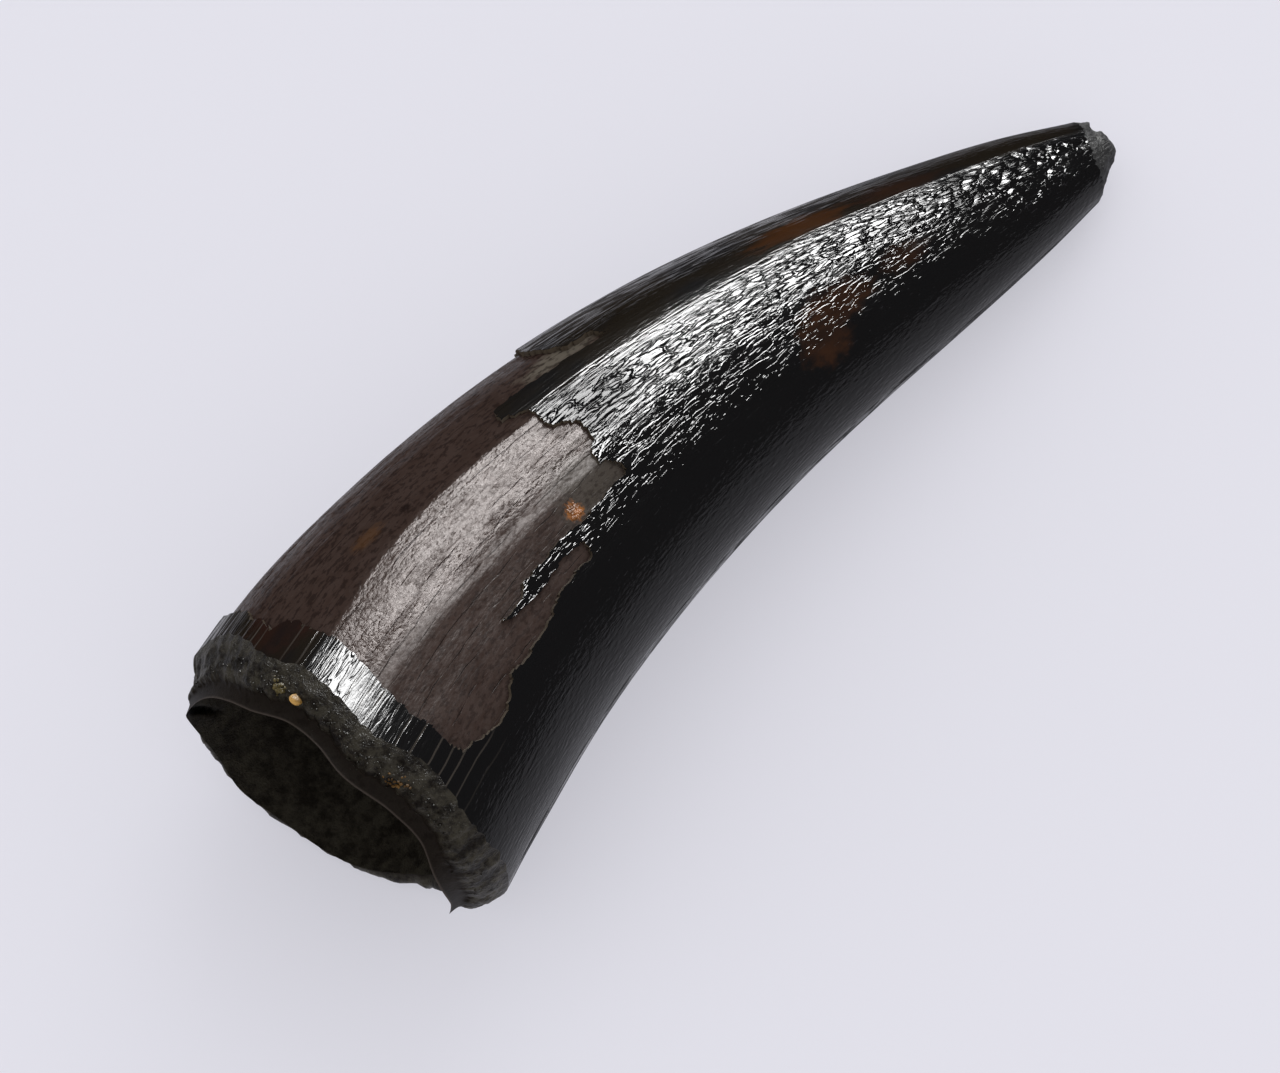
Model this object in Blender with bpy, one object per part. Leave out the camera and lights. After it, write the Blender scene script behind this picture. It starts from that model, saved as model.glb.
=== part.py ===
"""A fossil crocodile tooth, lying on its side on a level surface.

The tooth is one closed solid: a curved cone whose base has broken away, so that the rim is a
ragged bevelled fracture round the open pulp cavity. A window where the enamel has flaked off
shows the dentine a step lower, two low keels run from base to tip, and the very tip is
snapped off. Lengths below are in millimetres and angles in degrees; MM turns the finished
points into metres. Along is the distance up the midline from the base station, and an angle
goes round the tooth from its outer bend (0) over the top (90) to its inner bend (180).
"""

import math

import bmesh
import bpy
import numpy as np

MM = 0.001

# Midline: its heading against +X, at shares of its length from the base station to the tip
LENGTH = 31.45
HEADINGS = ((0.0, 17.4), (0.35, 3.1), (0.7, -7.3), (1.0, -7.4))
BASE_X = -14.8
BASE_Y = -0.46
MIDLINE_STEP = 0.1
BEYOND_ENDS = 4.0

# Crown: its radius at shares of its length
RADII = (
    (0.0, 5.46), (0.08, 5.35), (0.2, 5.01), (0.4, 4.37), (0.6, 3.56), (0.8, 2.58), (0.92, 1.87),
    (1.0, 1.27),
)
KEEL_ANGLES = (73.0, 253.0)
KEEL_HEIGHT = 0.13
KEEL_SPREAD = 17.0
SUNK = 0.12

# Base fracture: how far along its outer and its inner edge lie, at angles round the rim
OUTER_RIM = (
    (0, 0.6), (20, 0.4), (55, 0.15), (78, 0.15), (90, -0.25), (103, -0.65), (120, -0.5),
    (142, -0.9), (165, -0.8), (190, -0.7), (215, -0.2), (260, -0.3), (320, -0.1), (345, 0.2),
)
INNER_RIM = (
    (0, -1.1), (18, -1.3), (55, -1.05), (75, -1.05), (88, -1.3), (100, -1.7), (125, -1.8),
    (142, -1.9), (155, -2.25), (180, -2.15), (200, -1.7), (209, -0.5), (235, -0.45), (265, -0.85),
    (300, -0.75), (325, -0.6), (345, -0.8),
)
RIM_WALLS = ((10, 0.75), (60, 1.1), (120, 1.25), (180, 1.15), (260, 0.9), (330, 0.75))
RIM_HOLLOW = 0.3
RIM_ROUGHNESS = 0.1
NOTCH_ANGLE = 6.0
NOTCH_HALF_WIDTH = 3.0
NOTCH_DEPTH = 1.2
NOTCH_INNER_DEPTH = 1.9

# Pulp cavity
CAVITY_END = 16.0
CAVITY_FULLNESS = 1.25

# Window in the enamel: corners of its outline as (along, angle)
ENAMEL = 0.17
WINDOW = (
    (1.9, -25), (1.6, 0), (1.5, 20), (1.15, 46), (1.35, 66), (1.2, 82), (0.7, 95), (0.5, 110),
    (0.5, 128), (1.4, 132), (2.4, 134), (3.4, 130), (4.8, 129), (6.2, 127), (8.3, 125),
    (8.1, 121), (6.4, 120.5), (4.2, 117.5), (4.4, 114), (6.3, 113.5), (8.8, 114), (10.7, 114),
    (10.2, 103), (10.7, 91), (10.2, 82), (10.1, 72), (9.5, 67), (9.6, 62), (11.4, 61), (13.2, 65),
    (13.8, 64), (13.5, 57), (12.4, 52), (12.0, 36), (12.2, 15), (12.6, 0), (11.8, -14), (9.2, -22),
    (5.0, -30),
)

# Tip fracture: where the enamel ends, and a blunt rough end beyond it
TIP_EDGE = ((0, 31.7), (60, 31.5), (100, 31.0), (165, 31.0), (230, 31.1), (300, 31.5))
TIP_RISE = 1.15
TIP_LEAN = 0.3
TIP_LEAN_ANGLE = 70.0
TIP_ROUGHNESS = 0.12

# Mesh: faces round the tooth, and rings along each stretch of it
COLUMNS = 76
CROWN_RINGS = 46
RIM_RINGS = 3
CAVITY_RINGS = 9
TIP_RINGS = 3
SNAP_SHARE = 0.42
CELL = np.array([LENGTH / CROWN_RINGS, 360.0 / COLUMNS])
SHARP_ANGLE = 32.0
SEED = 11

COLOR = (0.018, 0.015, 0.014, 1.0)
ROUGHNESS = 0.28


def clear_scene():
    """Remove what the startup file holds."""
    for obj in list(bpy.data.objects):
        bpy.data.objects.remove(obj, do_unlink=True)


def curve_through(knots, x):
    """A smooth curve through the knots, read at x, and held at its end values past them."""
    at, value = np.array(knots, float).T
    slope = np.gradient(value, at)
    x = np.clip(x, at[0], at[-1])
    left = np.clip(np.searchsorted(at, x) - 1, 0, len(at) - 2)
    span = at[left + 1] - at[left]
    t = (x - at[left]) / span
    rise = value[left] * (1 + 2 * t) * (1 - t) ** 2 + value[left + 1] * t**2 * (3 - 2 * t)
    bend = slope[left] * t * (1 - t) ** 2 - slope[left + 1] * t**2 * (1 - t)
    return rise + span * bend


def curve_round(knots, angle):
    """A smooth closed curve through knots given at angles, read at angle in degrees."""
    before = [(at - 360.0, value) for at, value in knots]
    after = [(at + 360.0, value) for at, value in knots]
    return curve_through(before + list(knots) + after, np.mod(angle, 360.0))


def radius(along):
    """Radius of the smooth crown, which keeps its flare past the base station."""
    share = along / LENGTH
    flare = (RADII[1][1] - RADII[0][1]) / (RADII[1][0] - RADII[0][0])
    taper = (RADII[-1][1] - RADII[-2][1]) / (RADII[-1][0] - RADII[-2][0])
    below = flare * np.minimum(share, 0.0)
    above = taper * np.maximum(share - 1.0, 0.0)
    return curve_through(RADII, share) + below + above


class Midline:
    """The bent midline, with the directions across it at every distance along it."""

    def __init__(self):
        self.along = np.arange(-BEYOND_ENDS, LENGTH + BEYOND_ENDS, MIDLINE_STEP)
        heading = np.radians(curve_through(HEADINGS, self.along / LENGTH))
        height = radius(self.along)
        level = np.sqrt(1.0 - np.gradient(height, self.along) ** 2)
        x = np.cumsum(np.cos(heading) * level) * MIDLINE_STEP
        y = np.cumsum(np.sin(heading) * level) * MIDLINE_STEP
        x += BASE_X - np.interp(0.0, self.along, x)
        y += BASE_Y - np.interp(0.0, self.along, y)
        self.points = np.column_stack([x, y, height])
        forward = np.gradient(self.points, self.along, axis=0)
        forward /= np.linalg.norm(forward, axis=1)[:, None]
        outward = np.cross((0.0, 0.0, 1.0), forward)
        self.outward = outward / np.linalg.norm(outward, axis=1)[:, None]
        self.upward = np.cross(forward, self.outward)

    def read(self, table, along):
        """A row of the table for each distance along."""
        return np.stack([np.interp(along, self.along, table[:, axis]) for axis in range(3)], axis=-1)

    def place(self, along, angle, reach):
        """Points at a distance along, an angle round and a reach out from the midline."""
        turn = np.radians(angle)[..., None]
        outward = np.cos(turn) * self.read(self.outward, along)
        upward = np.sin(turn) * self.read(self.upward, along)
        return self.read(self.points, along) + np.asarray(reach)[..., None] * (outward + upward)


def angle_between(angle, other):
    """Smallest turn between two angles, with no sign."""
    return np.abs((angle - other + 180.0) % 360.0 - 180.0)


def notch(angle):
    """Share of the notch's depth at an angle, 1 at its middle and 0 outside it."""
    return np.clip(1.0 - angle_between(angle, NOTCH_ANGLE) / NOTCH_HALF_WIDTH, 0.0, 1.0)


def keels(along, angle):
    """Height of the two keels over the smooth crown."""
    fade = np.clip((LENGTH - along) / LENGTH, 0.0, 1.0) ** 0.5
    return KEEL_HEIGHT * fade * sum(np.exp(-angle_between(angle, at) / KEEL_SPREAD) for at in KEEL_ANGLES)


def column_angles():
    """Angles of the columns, with three set close together so that the notch is sharp."""
    step = 360.0 / COLUMNS
    even = np.arange(COLUMNS) * step
    clear = even[angle_between(even, NOTCH_ANGLE) > NOTCH_HALF_WIDTH + 0.3 * step]
    close = NOTCH_ANGLE + NOTCH_HALF_WIDTH * np.array([-1.0, 0.0, 1.0])
    return np.sort(np.concatenate([clear, close]))


def outer_rim(angles):
    """How far along the outer edge of the base fracture lies."""
    return curve_round(OUTER_RIM, angles) + NOTCH_DEPTH * notch(angles)


def inner_rim(angles):
    """How far along the inner edge of the base fracture lies."""
    return curve_round(INNER_RIM, angles) + NOTCH_INNER_DEPTH * notch(angles)


def window_edge(places):
    """The nearest place on the window's edge to each place, both counted in the crown's faces."""
    corners = np.array(WINDOW, float) / CELL
    nearest = np.full(places.shape, np.inf)
    distance = np.full(places.shape[:-1], np.inf)
    for start, end in zip(corners, np.roll(corners, -1, axis=0)):
        edge = end - start
        share = np.clip(((places - start) @ edge) / (edge @ edge), 0.0, 1.0)
        foot = start + share[..., None] * edge
        gap = np.abs(places - foot).max(axis=-1)
        nearest = np.where((gap < distance)[..., None], foot, nearest)
        distance = np.minimum(gap, distance)
    return nearest, distance


def in_window(places):
    """Whether each place, counted in the crown's faces, lies inside the window."""
    corners = np.array(WINDOW, float) / CELL
    inside = np.zeros(places.shape[:-1], bool)
    for start, end in zip(corners, np.roll(corners, -1, axis=0)):
        spans = (start[1] > places[..., 1]) != (end[1] > places[..., 1])
        rise = end[1] - start[1] if end[1] != start[1] else 1.0
        crossing = start[0] + (places[..., 1] - start[1]) * (end[0] - start[0]) / rise
        inside ^= spans & (places[..., 0] < crossing)
    return inside


def crown_grid(angles):
    """Places of the crown's corners, with those near the window's edge moved onto it."""
    share = np.linspace(0.0, 1.0, CROWN_RINGS)[:, None]
    start = outer_rim(angles)
    along = start + (curve_round(TIP_EDGE, angles) - start) * share
    turn = (angles + 180.0) % 360.0 - 180.0
    places = np.stack([along, np.broadcast_to(turn, along.shape)], axis=-1) / CELL
    nearest, distance = window_edge(places)
    on_edge = distance < SNAP_SHARE
    on_edge[[0, -1]] = False
    return np.where(on_edge[..., None], nearest, places) * CELL


def window_faces(grid):
    """Whether each face of the crown lies in the window, with no two meeting only at a corner."""
    beside = np.roll(grid, -1, axis=1).copy()
    beside[..., 1] = grid[..., 1] + (beside[..., 1] - grid[..., 1]) % 360.0
    middles = (grid[:-1] + grid[1:] + beside[:-1] + beside[1:]) / 4.0
    inside = in_window(middles / CELL)
    for _ in range(3):
        right = np.roll(inside, -1, axis=1)
        rising = inside[:-1] & right[1:] & ~inside[1:] & ~right[:-1]
        falling = inside[1:] & right[:-1] & ~inside[:-1] & ~right[1:]
        inside[1:] |= rising
        inside[:-1] |= falling
    return inside


def crown_rings(midline, grid):
    """Rings of the outer surface from the base fracture to the tip fracture."""
    along, angle = grid[..., 0], grid[..., 1]
    return list(midline.place(along, angle, radius(along) + keels(along, angle)))


def rim_rings(midline, angles, rough):
    """Rings of the base fracture, from below its outer edge to its sharp inner edge."""
    outer = outer_rim(angles)
    wall = curve_round(RIM_WALLS, angles)
    rings = []
    for ring in range(1, RIM_RINGS + 1):
        share = ring / RIM_RINGS
        hollow = RIM_HOLLOW * math.sin(math.pi * share)
        noise = RIM_ROUGHNESS * rough.uniform(-1.0, 1.0, len(angles))
        lumps = noise * (share < 1.0)
        along = outer + (inner_rim(angles) - outer) * share + hollow + lumps
        reach = radius(along) + keels(along, angles) * (1.0 - share) - wall * share + lumps
        rings.append(midline.place(along, angles, reach))
    return rings


def cavity_rings(midline, angles):
    """Rings of the pulp cavity, from inside the rim to just short of its end."""
    inner = inner_rim(angles)
    mouth = radius(inner) - curve_round(RIM_WALLS, angles)
    rings = []
    for ring in range(1, CAVITY_RINGS + 1):
        share = ring / (CAVITY_RINGS + 1)
        along = inner + (CAVITY_END - inner) * share
        rings.append(midline.place(along, angles, mouth * (1.0 - share**CAVITY_FULLNESS)))
    return rings


def tip_rings(midline, angles, rough):
    """Rings of the tip fracture, inside the edge of the enamel, leaning to one side."""
    edge = curve_round(TIP_EDGE, angles)
    lean = tip_lean(midline)
    rings = []
    for ring in range(1, TIP_RINGS + 1):
        share = ring / (TIP_RINGS + 1)
        noise = TIP_ROUGHNESS * rough.uniform(-1.0, 1.0, len(angles))
        rise = math.sin(0.5 * math.pi * share)
        along = edge + (LENGTH + TIP_RISE - edge) * rise + noise * (1.0 - share)
        rings.append(midline.place(along, angles, radius(edge) * (1.0 - share)) + lean * share)
    return rings


def tip_lean(midline):
    """How far the blunt end sits to one side of the midline."""
    end = np.array([LENGTH])
    side = midline.place(end, np.array([TIP_LEAN_ANGLE]), np.array([TIP_LEAN]))
    return side - midline.place(end, np.array([0.0]), np.array([0.0]))


def strip_faces(first, second, count):
    """Quads between two rings of points, given the index of each ring's first point."""
    return [
        (first + i, first + (i + 1) % count, second + (i + 1) % count, second + i)
        for i in range(count)
    ]


def fan_faces(ring, middle, count):
    """Triangles between a ring of points and one middle point."""
    return [(ring + i, ring + (i + 1) % count, middle) for i in range(count)]


def tooth_mesh():
    """Points and faces of the whole tooth as one closed surface, and which faces the window holds."""
    rough = np.random.default_rng(SEED)
    midline = Midline()
    angles = column_angles()
    count = len(angles)
    cavity = cavity_rings(midline, angles)[::-1]
    rim = rim_rings(midline, angles, rough)[::-1]
    grid = crown_grid(angles)
    rings = cavity + rim + crown_rings(midline, grid) + tip_rings(midline, angles, rough)
    middle = np.array([0.0])
    cavity_end = midline.place(np.array([CAVITY_END]), middle, middle)
    tip_end = midline.place(np.array([LENGTH + TIP_RISE]), middle, middle) + tip_lean(midline)
    points = np.concatenate([cavity_end] + rings + [tip_end])
    faces = [face[::-1] for face in fan_faces(1, 0, count)]
    for ring in range(len(rings) - 1):
        start = 1 + ring * count
        faces += strip_faces(start, start + count, count)
    faces += fan_faces(1 + (len(rings) - 1) * count, len(points) - 1, count)
    before_crown = count * (1 + len(cavity) + len(rim))
    window = [before_crown + int(face) for face in np.flatnonzero(window_faces(grid))]
    return points, faces, window


def sink_window(mesh, window):
    """Lower the window's faces by the enamel's thickness, with a wall all round them."""
    form = bmesh.new()
    form.from_mesh(mesh)
    form.faces.ensure_lookup_table()
    chosen = [form.faces[index] for index in window]
    inward = {}
    for face in chosen:
        for corner in face.verts:
            inward.setdefault(tuple(corner.co), corner.normal.copy())
    made = bmesh.ops.extrude_face_region(form, geom=chosen)["geom"]
    for item in made:
        if isinstance(item, bmesh.types.BMVert):
            item.co -= inward[tuple(item.co)] * ENAMEL
    bmesh.ops.delete(form, geom=chosen, context="FACES")
    form.to_mesh(mesh)
    form.free()


def lay_down(mesh):
    """Set the tooth on the level surface, flat where it touches, and turn it into metres."""
    for corner in mesh.vertices:
        corner.co.z = max(corner.co.z - SUNK, 0.0)
        corner.co *= MM


def enamel_material():
    """Near-black glossy fossil enamel."""
    material = bpy.data.materials.new("tooth_surface")
    material.use_nodes = True
    shader = material.node_tree.nodes["Principled BSDF"]
    shader.inputs["Base Color"].default_value = COLOR
    shader.inputs["Roughness"].default_value = ROUGHNESS
    shader.inputs["Metallic"].default_value = 0.0
    return material


def make_tooth():
    """Build the tooth as one object named tooth."""
    points, faces, window = tooth_mesh()
    mesh = bpy.data.meshes.new("tooth")
    mesh.from_pydata(points.tolist(), [], faces)
    sink_window(mesh, window)
    lay_down(mesh)
    mesh.shade_smooth()
    mesh.set_sharp_from_angle(angle=math.radians(SHARP_ANGLE))
    mesh.materials.append(enamel_material())
    tooth = bpy.data.objects.new("tooth", mesh)
    bpy.context.scene.collection.objects.link(tooth)
    return tooth


clear_scene()
make_tooth()
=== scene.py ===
"""The looks of a fossil crocodile tooth that lies on its side on a pale floor.

Places on the tooth are given as (along, angle): along is the distance in millimetres up the bent midline
from the base station towards the tip, and angle goes round the tooth in degrees, from its outer bend (0)
over the top (90) to its inner bend (180). Lengths are in millimetres until a mesh is made.
"""

from __future__ import annotations

import logging
import math
from collections.abc import Callable, Sequence
from dataclasses import dataclass, field

import bpy
import numpy as np
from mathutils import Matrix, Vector


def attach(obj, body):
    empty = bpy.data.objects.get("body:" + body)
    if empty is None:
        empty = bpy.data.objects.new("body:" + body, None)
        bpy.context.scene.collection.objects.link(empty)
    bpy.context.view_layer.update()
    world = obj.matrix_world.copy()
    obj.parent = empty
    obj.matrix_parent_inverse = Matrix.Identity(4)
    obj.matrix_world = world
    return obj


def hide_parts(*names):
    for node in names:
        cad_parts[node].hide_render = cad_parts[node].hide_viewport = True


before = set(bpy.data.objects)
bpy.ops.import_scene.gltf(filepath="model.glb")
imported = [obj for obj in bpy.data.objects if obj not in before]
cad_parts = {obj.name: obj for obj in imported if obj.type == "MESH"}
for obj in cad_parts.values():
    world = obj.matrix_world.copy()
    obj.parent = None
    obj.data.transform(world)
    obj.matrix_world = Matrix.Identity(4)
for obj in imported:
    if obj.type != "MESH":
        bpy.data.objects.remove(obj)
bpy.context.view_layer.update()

MM = 0.001
NODE = "tooth"
BODY = "root"
FLOW = "flow"
CHIP = "chip"
RELIEF = "relief"
OUTWARD = "outward"
WRINKLED = "wrinkled"
STRIP = "strip"
PAST_CREASE = "past_crease"
PAST_BAND = "past_band"
INWARD = "inward"
CREVICE_SHADE = "crevice"
HALF_SIZE = "half_size"
TURN = "turn"
SHARP_ANGLE = 42.0
WATTS_PER_RADIANCE = 4.0
FULL_TURN = 360.0
HALF_TURN = 180.0
FINE_ANGLES = 3600
TINY = 1e-12

Span = tuple[float, float]
Knots = tuple[Span, ...]
Color = tuple[float, float, float]
Operand = "Value | float | Sequence[float]"

BROWN_STAIN: Color = (0.022, 0.0095, 0.007)
AMBER: Color = (0.050, 0.0185, 0.0055)
RUST_STAIN: Color = (0.058, 0.023, 0.010)
DARK_MOTTLE: Color = (0.012, 0.007, 0.006)
RUST_GRAINS: Color = (0.42, 0.16, 0.045)
CREAM_GRAIN: Color = (0.60, 0.34, 0.09)
OLIVE_GRAINS: Color = (0.13, 0.10, 0.035)
BROWN_GRAINS: Color = (0.16, 0.08, 0.02)
GRIT: Color = (0.035, 0.030, 0.022)
MATTE = {"Roughness": 0.8, "Specular IOR Level": 0.0}

log = logging.getLogger("tooth")


# ---------------------------------------------------------------------------
# Node trees written as expressions
# ---------------------------------------------------------------------------


class Value:
    """A socket of a node tree that can stand in a sum or a product."""

    def __init__(self, graph: Graph, node: bpy.types.Node, socket: bpy.types.NodeSocket) -> None:
        """Wrap one output socket of a node of the graph."""
        self.graph = graph
        self.node = node
        self.socket = socket

    @property
    def wide(self) -> bool:
        """Whether it is a vector or a color."""
        return self.socket.type in ("VECTOR", "RGBA")

    def out(self, name: str) -> Value:
        """The same node's output in use of that name."""
        found = next(socket for socket in self.node.outputs if socket.enabled and socket.name == name)
        return Value(self.graph, self.node, found)

    def __add__(self, other: Operand) -> Value:
        """Sum of the two."""
        return self.graph.combine("ADD", self, other)

    def __mul__(self, other: Operand) -> Value:
        """Product of the two."""
        return self.graph.combine("MULTIPLY", self, other)

    def __sub__(self, other: Operand) -> Value:
        """This one less the other."""
        return self.graph.combine("SUBTRACT", self, other)

    def __rsub__(self, other: Operand) -> Value:
        """The other less this one."""
        return self.graph.combine("SUBTRACT", other, self)

    def __rtruediv__(self, other: Operand) -> Value:
        """The other over this one."""
        return self.graph.combine("DIVIDE", other, self)

    def part(self, axis: str) -> Value:
        """One of the X, Y and Z parts of a vector."""
        return self.graph.node("ShaderNodeSeparateXYZ", {}, {"Vector": self}).out(axis)

    def steps(self, low: float, high: float) -> Value:
        """0 below low, 1 above high, and a smooth rise between; it falls where low is the larger."""
        settings = {"interpolation_type": "SMOOTHSTEP"}
        if low <= high:
            inputs = {"Value": self, "From Min": low, "From Max": high}
            return self.graph.node("ShaderNodeMapRange", settings, inputs)
        inputs = {"Value": self, "From Min": high, "From Max": low, "To Min": 1.0, "To Max": 0.0}
        return self.graph.node("ShaderNodeMapRange", settings, inputs)


class Graph:
    """A shader or geometry tree in the making."""

    def __init__(self, tree: bpy.types.NodeTree) -> None:
        """Start from an empty tree.

        Args:
            tree: the tree that gets the nodes.
        """
        self.tree = tree
        tree.nodes.clear()

    def node(self, kind: str, settings: dict[str, object], inputs: dict[str | int, object]) -> Value:
        """Add one node.

        Args:
            kind: Blender's name of the node's type.
            settings: the node's properties, set before its sockets.
            inputs: a value or a link for each socket, by its name or its index.

        Returns:
            The node's first output in use, or a value with no socket for an output node.
        """
        node = self.tree.nodes.new(kind)
        for name, setting in settings.items():
            setattr(node, name, setting)
        for key, given in inputs.items():
            self.feed(self.input_of(node, key), given)
        outputs = [socket for socket in node.outputs if socket.enabled]
        return Value(self, node, outputs[0] if outputs else None)

    @staticmethod
    def input_of(node: bpy.types.Node, key: str | int) -> bpy.types.NodeSocket:
        """The node's input in use with that name or index."""
        if isinstance(key, int):
            return node.inputs[key]
        return next(socket for socket in node.inputs if socket.enabled and socket.name == key)

    def feed(self, socket: bpy.types.NodeSocket, given: object) -> None:
        """Link a value to a socket, or set the socket's own value.

        Args:
            socket: the input that gets it.
            given: a Value to link, or a plain setting; a color without alpha gets 1.
        """
        if isinstance(given, Value):
            self.tree.links.new(given.socket, socket)
        elif socket.type == "RGBA" and len(given) == 3:
            socket.default_value = (*given, 1.0)
        else:
            socket.default_value = given

    def combine(self, operation: str, first: Operand, second: Operand) -> Value:
        """Arithmetic on two values, as vectors where either is one.

        Args:
            operation: Blender's name of the operation.
            first: the left side.
            second: the right side.

        Returns:
            The result of a Math or a Vector Math node.
        """
        pair = (first, second)
        wide = [isinstance(side, Sequence) or (isinstance(side, Value) and side.wide) for side in pair]
        if not any(wide):
            return self.node("ShaderNodeMath", {"operation": operation}, dict(enumerate(pair)))
        if operation == "MULTIPLY" and not all(wide):
            vector, scale = pair if wide[0] else pair[::-1]
            inputs = {"Vector": vector, "Scale": scale}
            return self.node("ShaderNodeVectorMath", {"operation": "SCALE"}, inputs)
        return self.node("ShaderNodeVectorMath", {"operation": operation}, dict(enumerate(pair)))

    def math(self, operation: str, *values: Operand) -> Value:
        """A Math node on plain numbers."""
        return self.node("ShaderNodeMath", {"operation": operation}, dict(enumerate(values)))

    def largest(self, *values: Operand) -> Value:
        """The largest of some plain numbers."""
        top = values[0]
        for other in values[1:]:
            top = self.math("MAXIMUM", top, other)
        return top

    def mix(self, share: Operand, first: object, second: object) -> Value:
        """A color between two colors."""
        settings = {"data_type": "RGBA", "clamp_factor": True}
        return self.node("ShaderNodeMix", settings, {"Factor": share, "A": first, "B": second})

    def noise(self, where: Value, detail: float = 2.0, rough: float = 0.5) -> Value:
        """Cloudy noise from 0 to 1 at a place, one unit to a cloud."""
        inputs = {"Vector": where, "Scale": 1.0, "Detail": detail, "Roughness": rough}
        return self.node("ShaderNodeTexNoise", {"noise_dimensions": "3D"}, inputs)

    def warped(self, where: Value, scale: float, amount: float) -> Value:
        """The place pushed about by a slow noise, so that a regular pattern loses its order."""
        push = self.noise(where * scale, 1.0).out("Color") - (0.5, 0.5, 0.5)
        return where + push * amount

    def domes(self, where: Value) -> Value:
        """Round-topped bumps one unit wide, 0 at their tops and falling to about -0.3 between them."""
        inputs = {"Vector": where, "Scale": 1.0}
        distance = self.node("ShaderNodeTexVoronoi", {"feature": "F1"}, inputs)
        return distance * distance * -1.0

    def grooves(self, where: Value, width: float) -> Value:
        """1 in narrow winding grooves, about one unit apart, and 0 between them."""
        from_middle = self.math("ABSOLUTE", self.noise(where, 1.0) - 0.5)
        return from_middle.steps(width, 0.0)

    def bump(self, height: Value) -> Value:
        """Normals of a surface raised by a height in metres."""
        return self.node("ShaderNodeBump", {}, {"Strength": 1.0, "Distance": 1.0, "Height": height})

    def attribute(self, name: str, output: str = "Fac") -> Value:
        """A value that the mesh carries, in a shader."""
        return self.node("ShaderNodeAttribute", {"attribute_name": name}, {}).out(output)

    def turn(self, flow: Value) -> Value:
        """Angle round the tooth in radians, from the flow coordinates."""
        return self.math("ARCTAN2", flow.part("Y"), flow.part("X"))

    def degrees(self, flow: Value) -> Value:
        """Angle round the tooth in degrees, from the flow coordinates."""
        return self.turn(flow) * (HALF_TURN / math.pi)


# ---------------------------------------------------------------------------
# The form that every piece follows
# ---------------------------------------------------------------------------


def curve_through(knots: Knots, x: np.ndarray) -> np.ndarray:
    """Read a smooth curve through knots.

    Args:
        knots: (place, value) pairs in rising order.
        x: places to read it at; past the ends it keeps its end values.

    Returns:
        The curve's values.
    """
    at, value = np.array(knots, float).T
    slope = np.gradient(value, at)
    x = np.clip(x, at[0], at[-1])
    left = np.clip(np.searchsorted(at, x) - 1, 0, len(at) - 2)
    span = at[left + 1] - at[left]
    t = (x - at[left]) / span
    rise = value[left] * (1 + 2 * t) * (1 - t) ** 2 + value[left + 1] * t**2 * (3 - 2 * t)
    bend = slope[left] * t * (1 - t) ** 2 - slope[left + 1] * t**2 * (1 - t)
    return rise + span * bend


def curve_round(knots: Knots, angle: np.ndarray) -> np.ndarray:
    """Read a smooth closed curve whose knots are at angles in degrees."""
    before = tuple((at - FULL_TURN, value) for at, value in knots)
    after = tuple((at + FULL_TURN, value) for at, value in knots)
    return curve_through(before + tuple(knots) + after, np.mod(angle, FULL_TURN))


def signed(angle: np.ndarray) -> np.ndarray:
    """The same angles in degrees, from -180 to 180."""
    return (angle + HALF_TURN) % FULL_TURN - HALF_TURN


def turn_between(angle: np.ndarray, other: float) -> np.ndarray:
    """Smallest turn between two angles in degrees, with no sign."""
    return np.abs(signed(angle - other))


def ramp(value: np.ndarray, start: float, end: float) -> np.ndarray:
    """0 up to the start, 1 past the end, and a straight line between; the start may be the larger."""
    return np.clip((value - start) / (end - start), 0.0, 1.0)


def unit_rows(vectors: np.ndarray) -> np.ndarray:
    """The vectors as rows, each one long."""
    return (vectors / np.linalg.norm(vectors, axis=-1, keepdims=True)).reshape(-1, 3)


def ragged_steps(count: int, spread: float, seed: int) -> np.ndarray:
    """Random sideways steps of a broken edge, with mean zero."""
    steps = np.random.default_rng(seed).uniform(-spread, spread, count)
    return steps - steps.mean()


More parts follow.
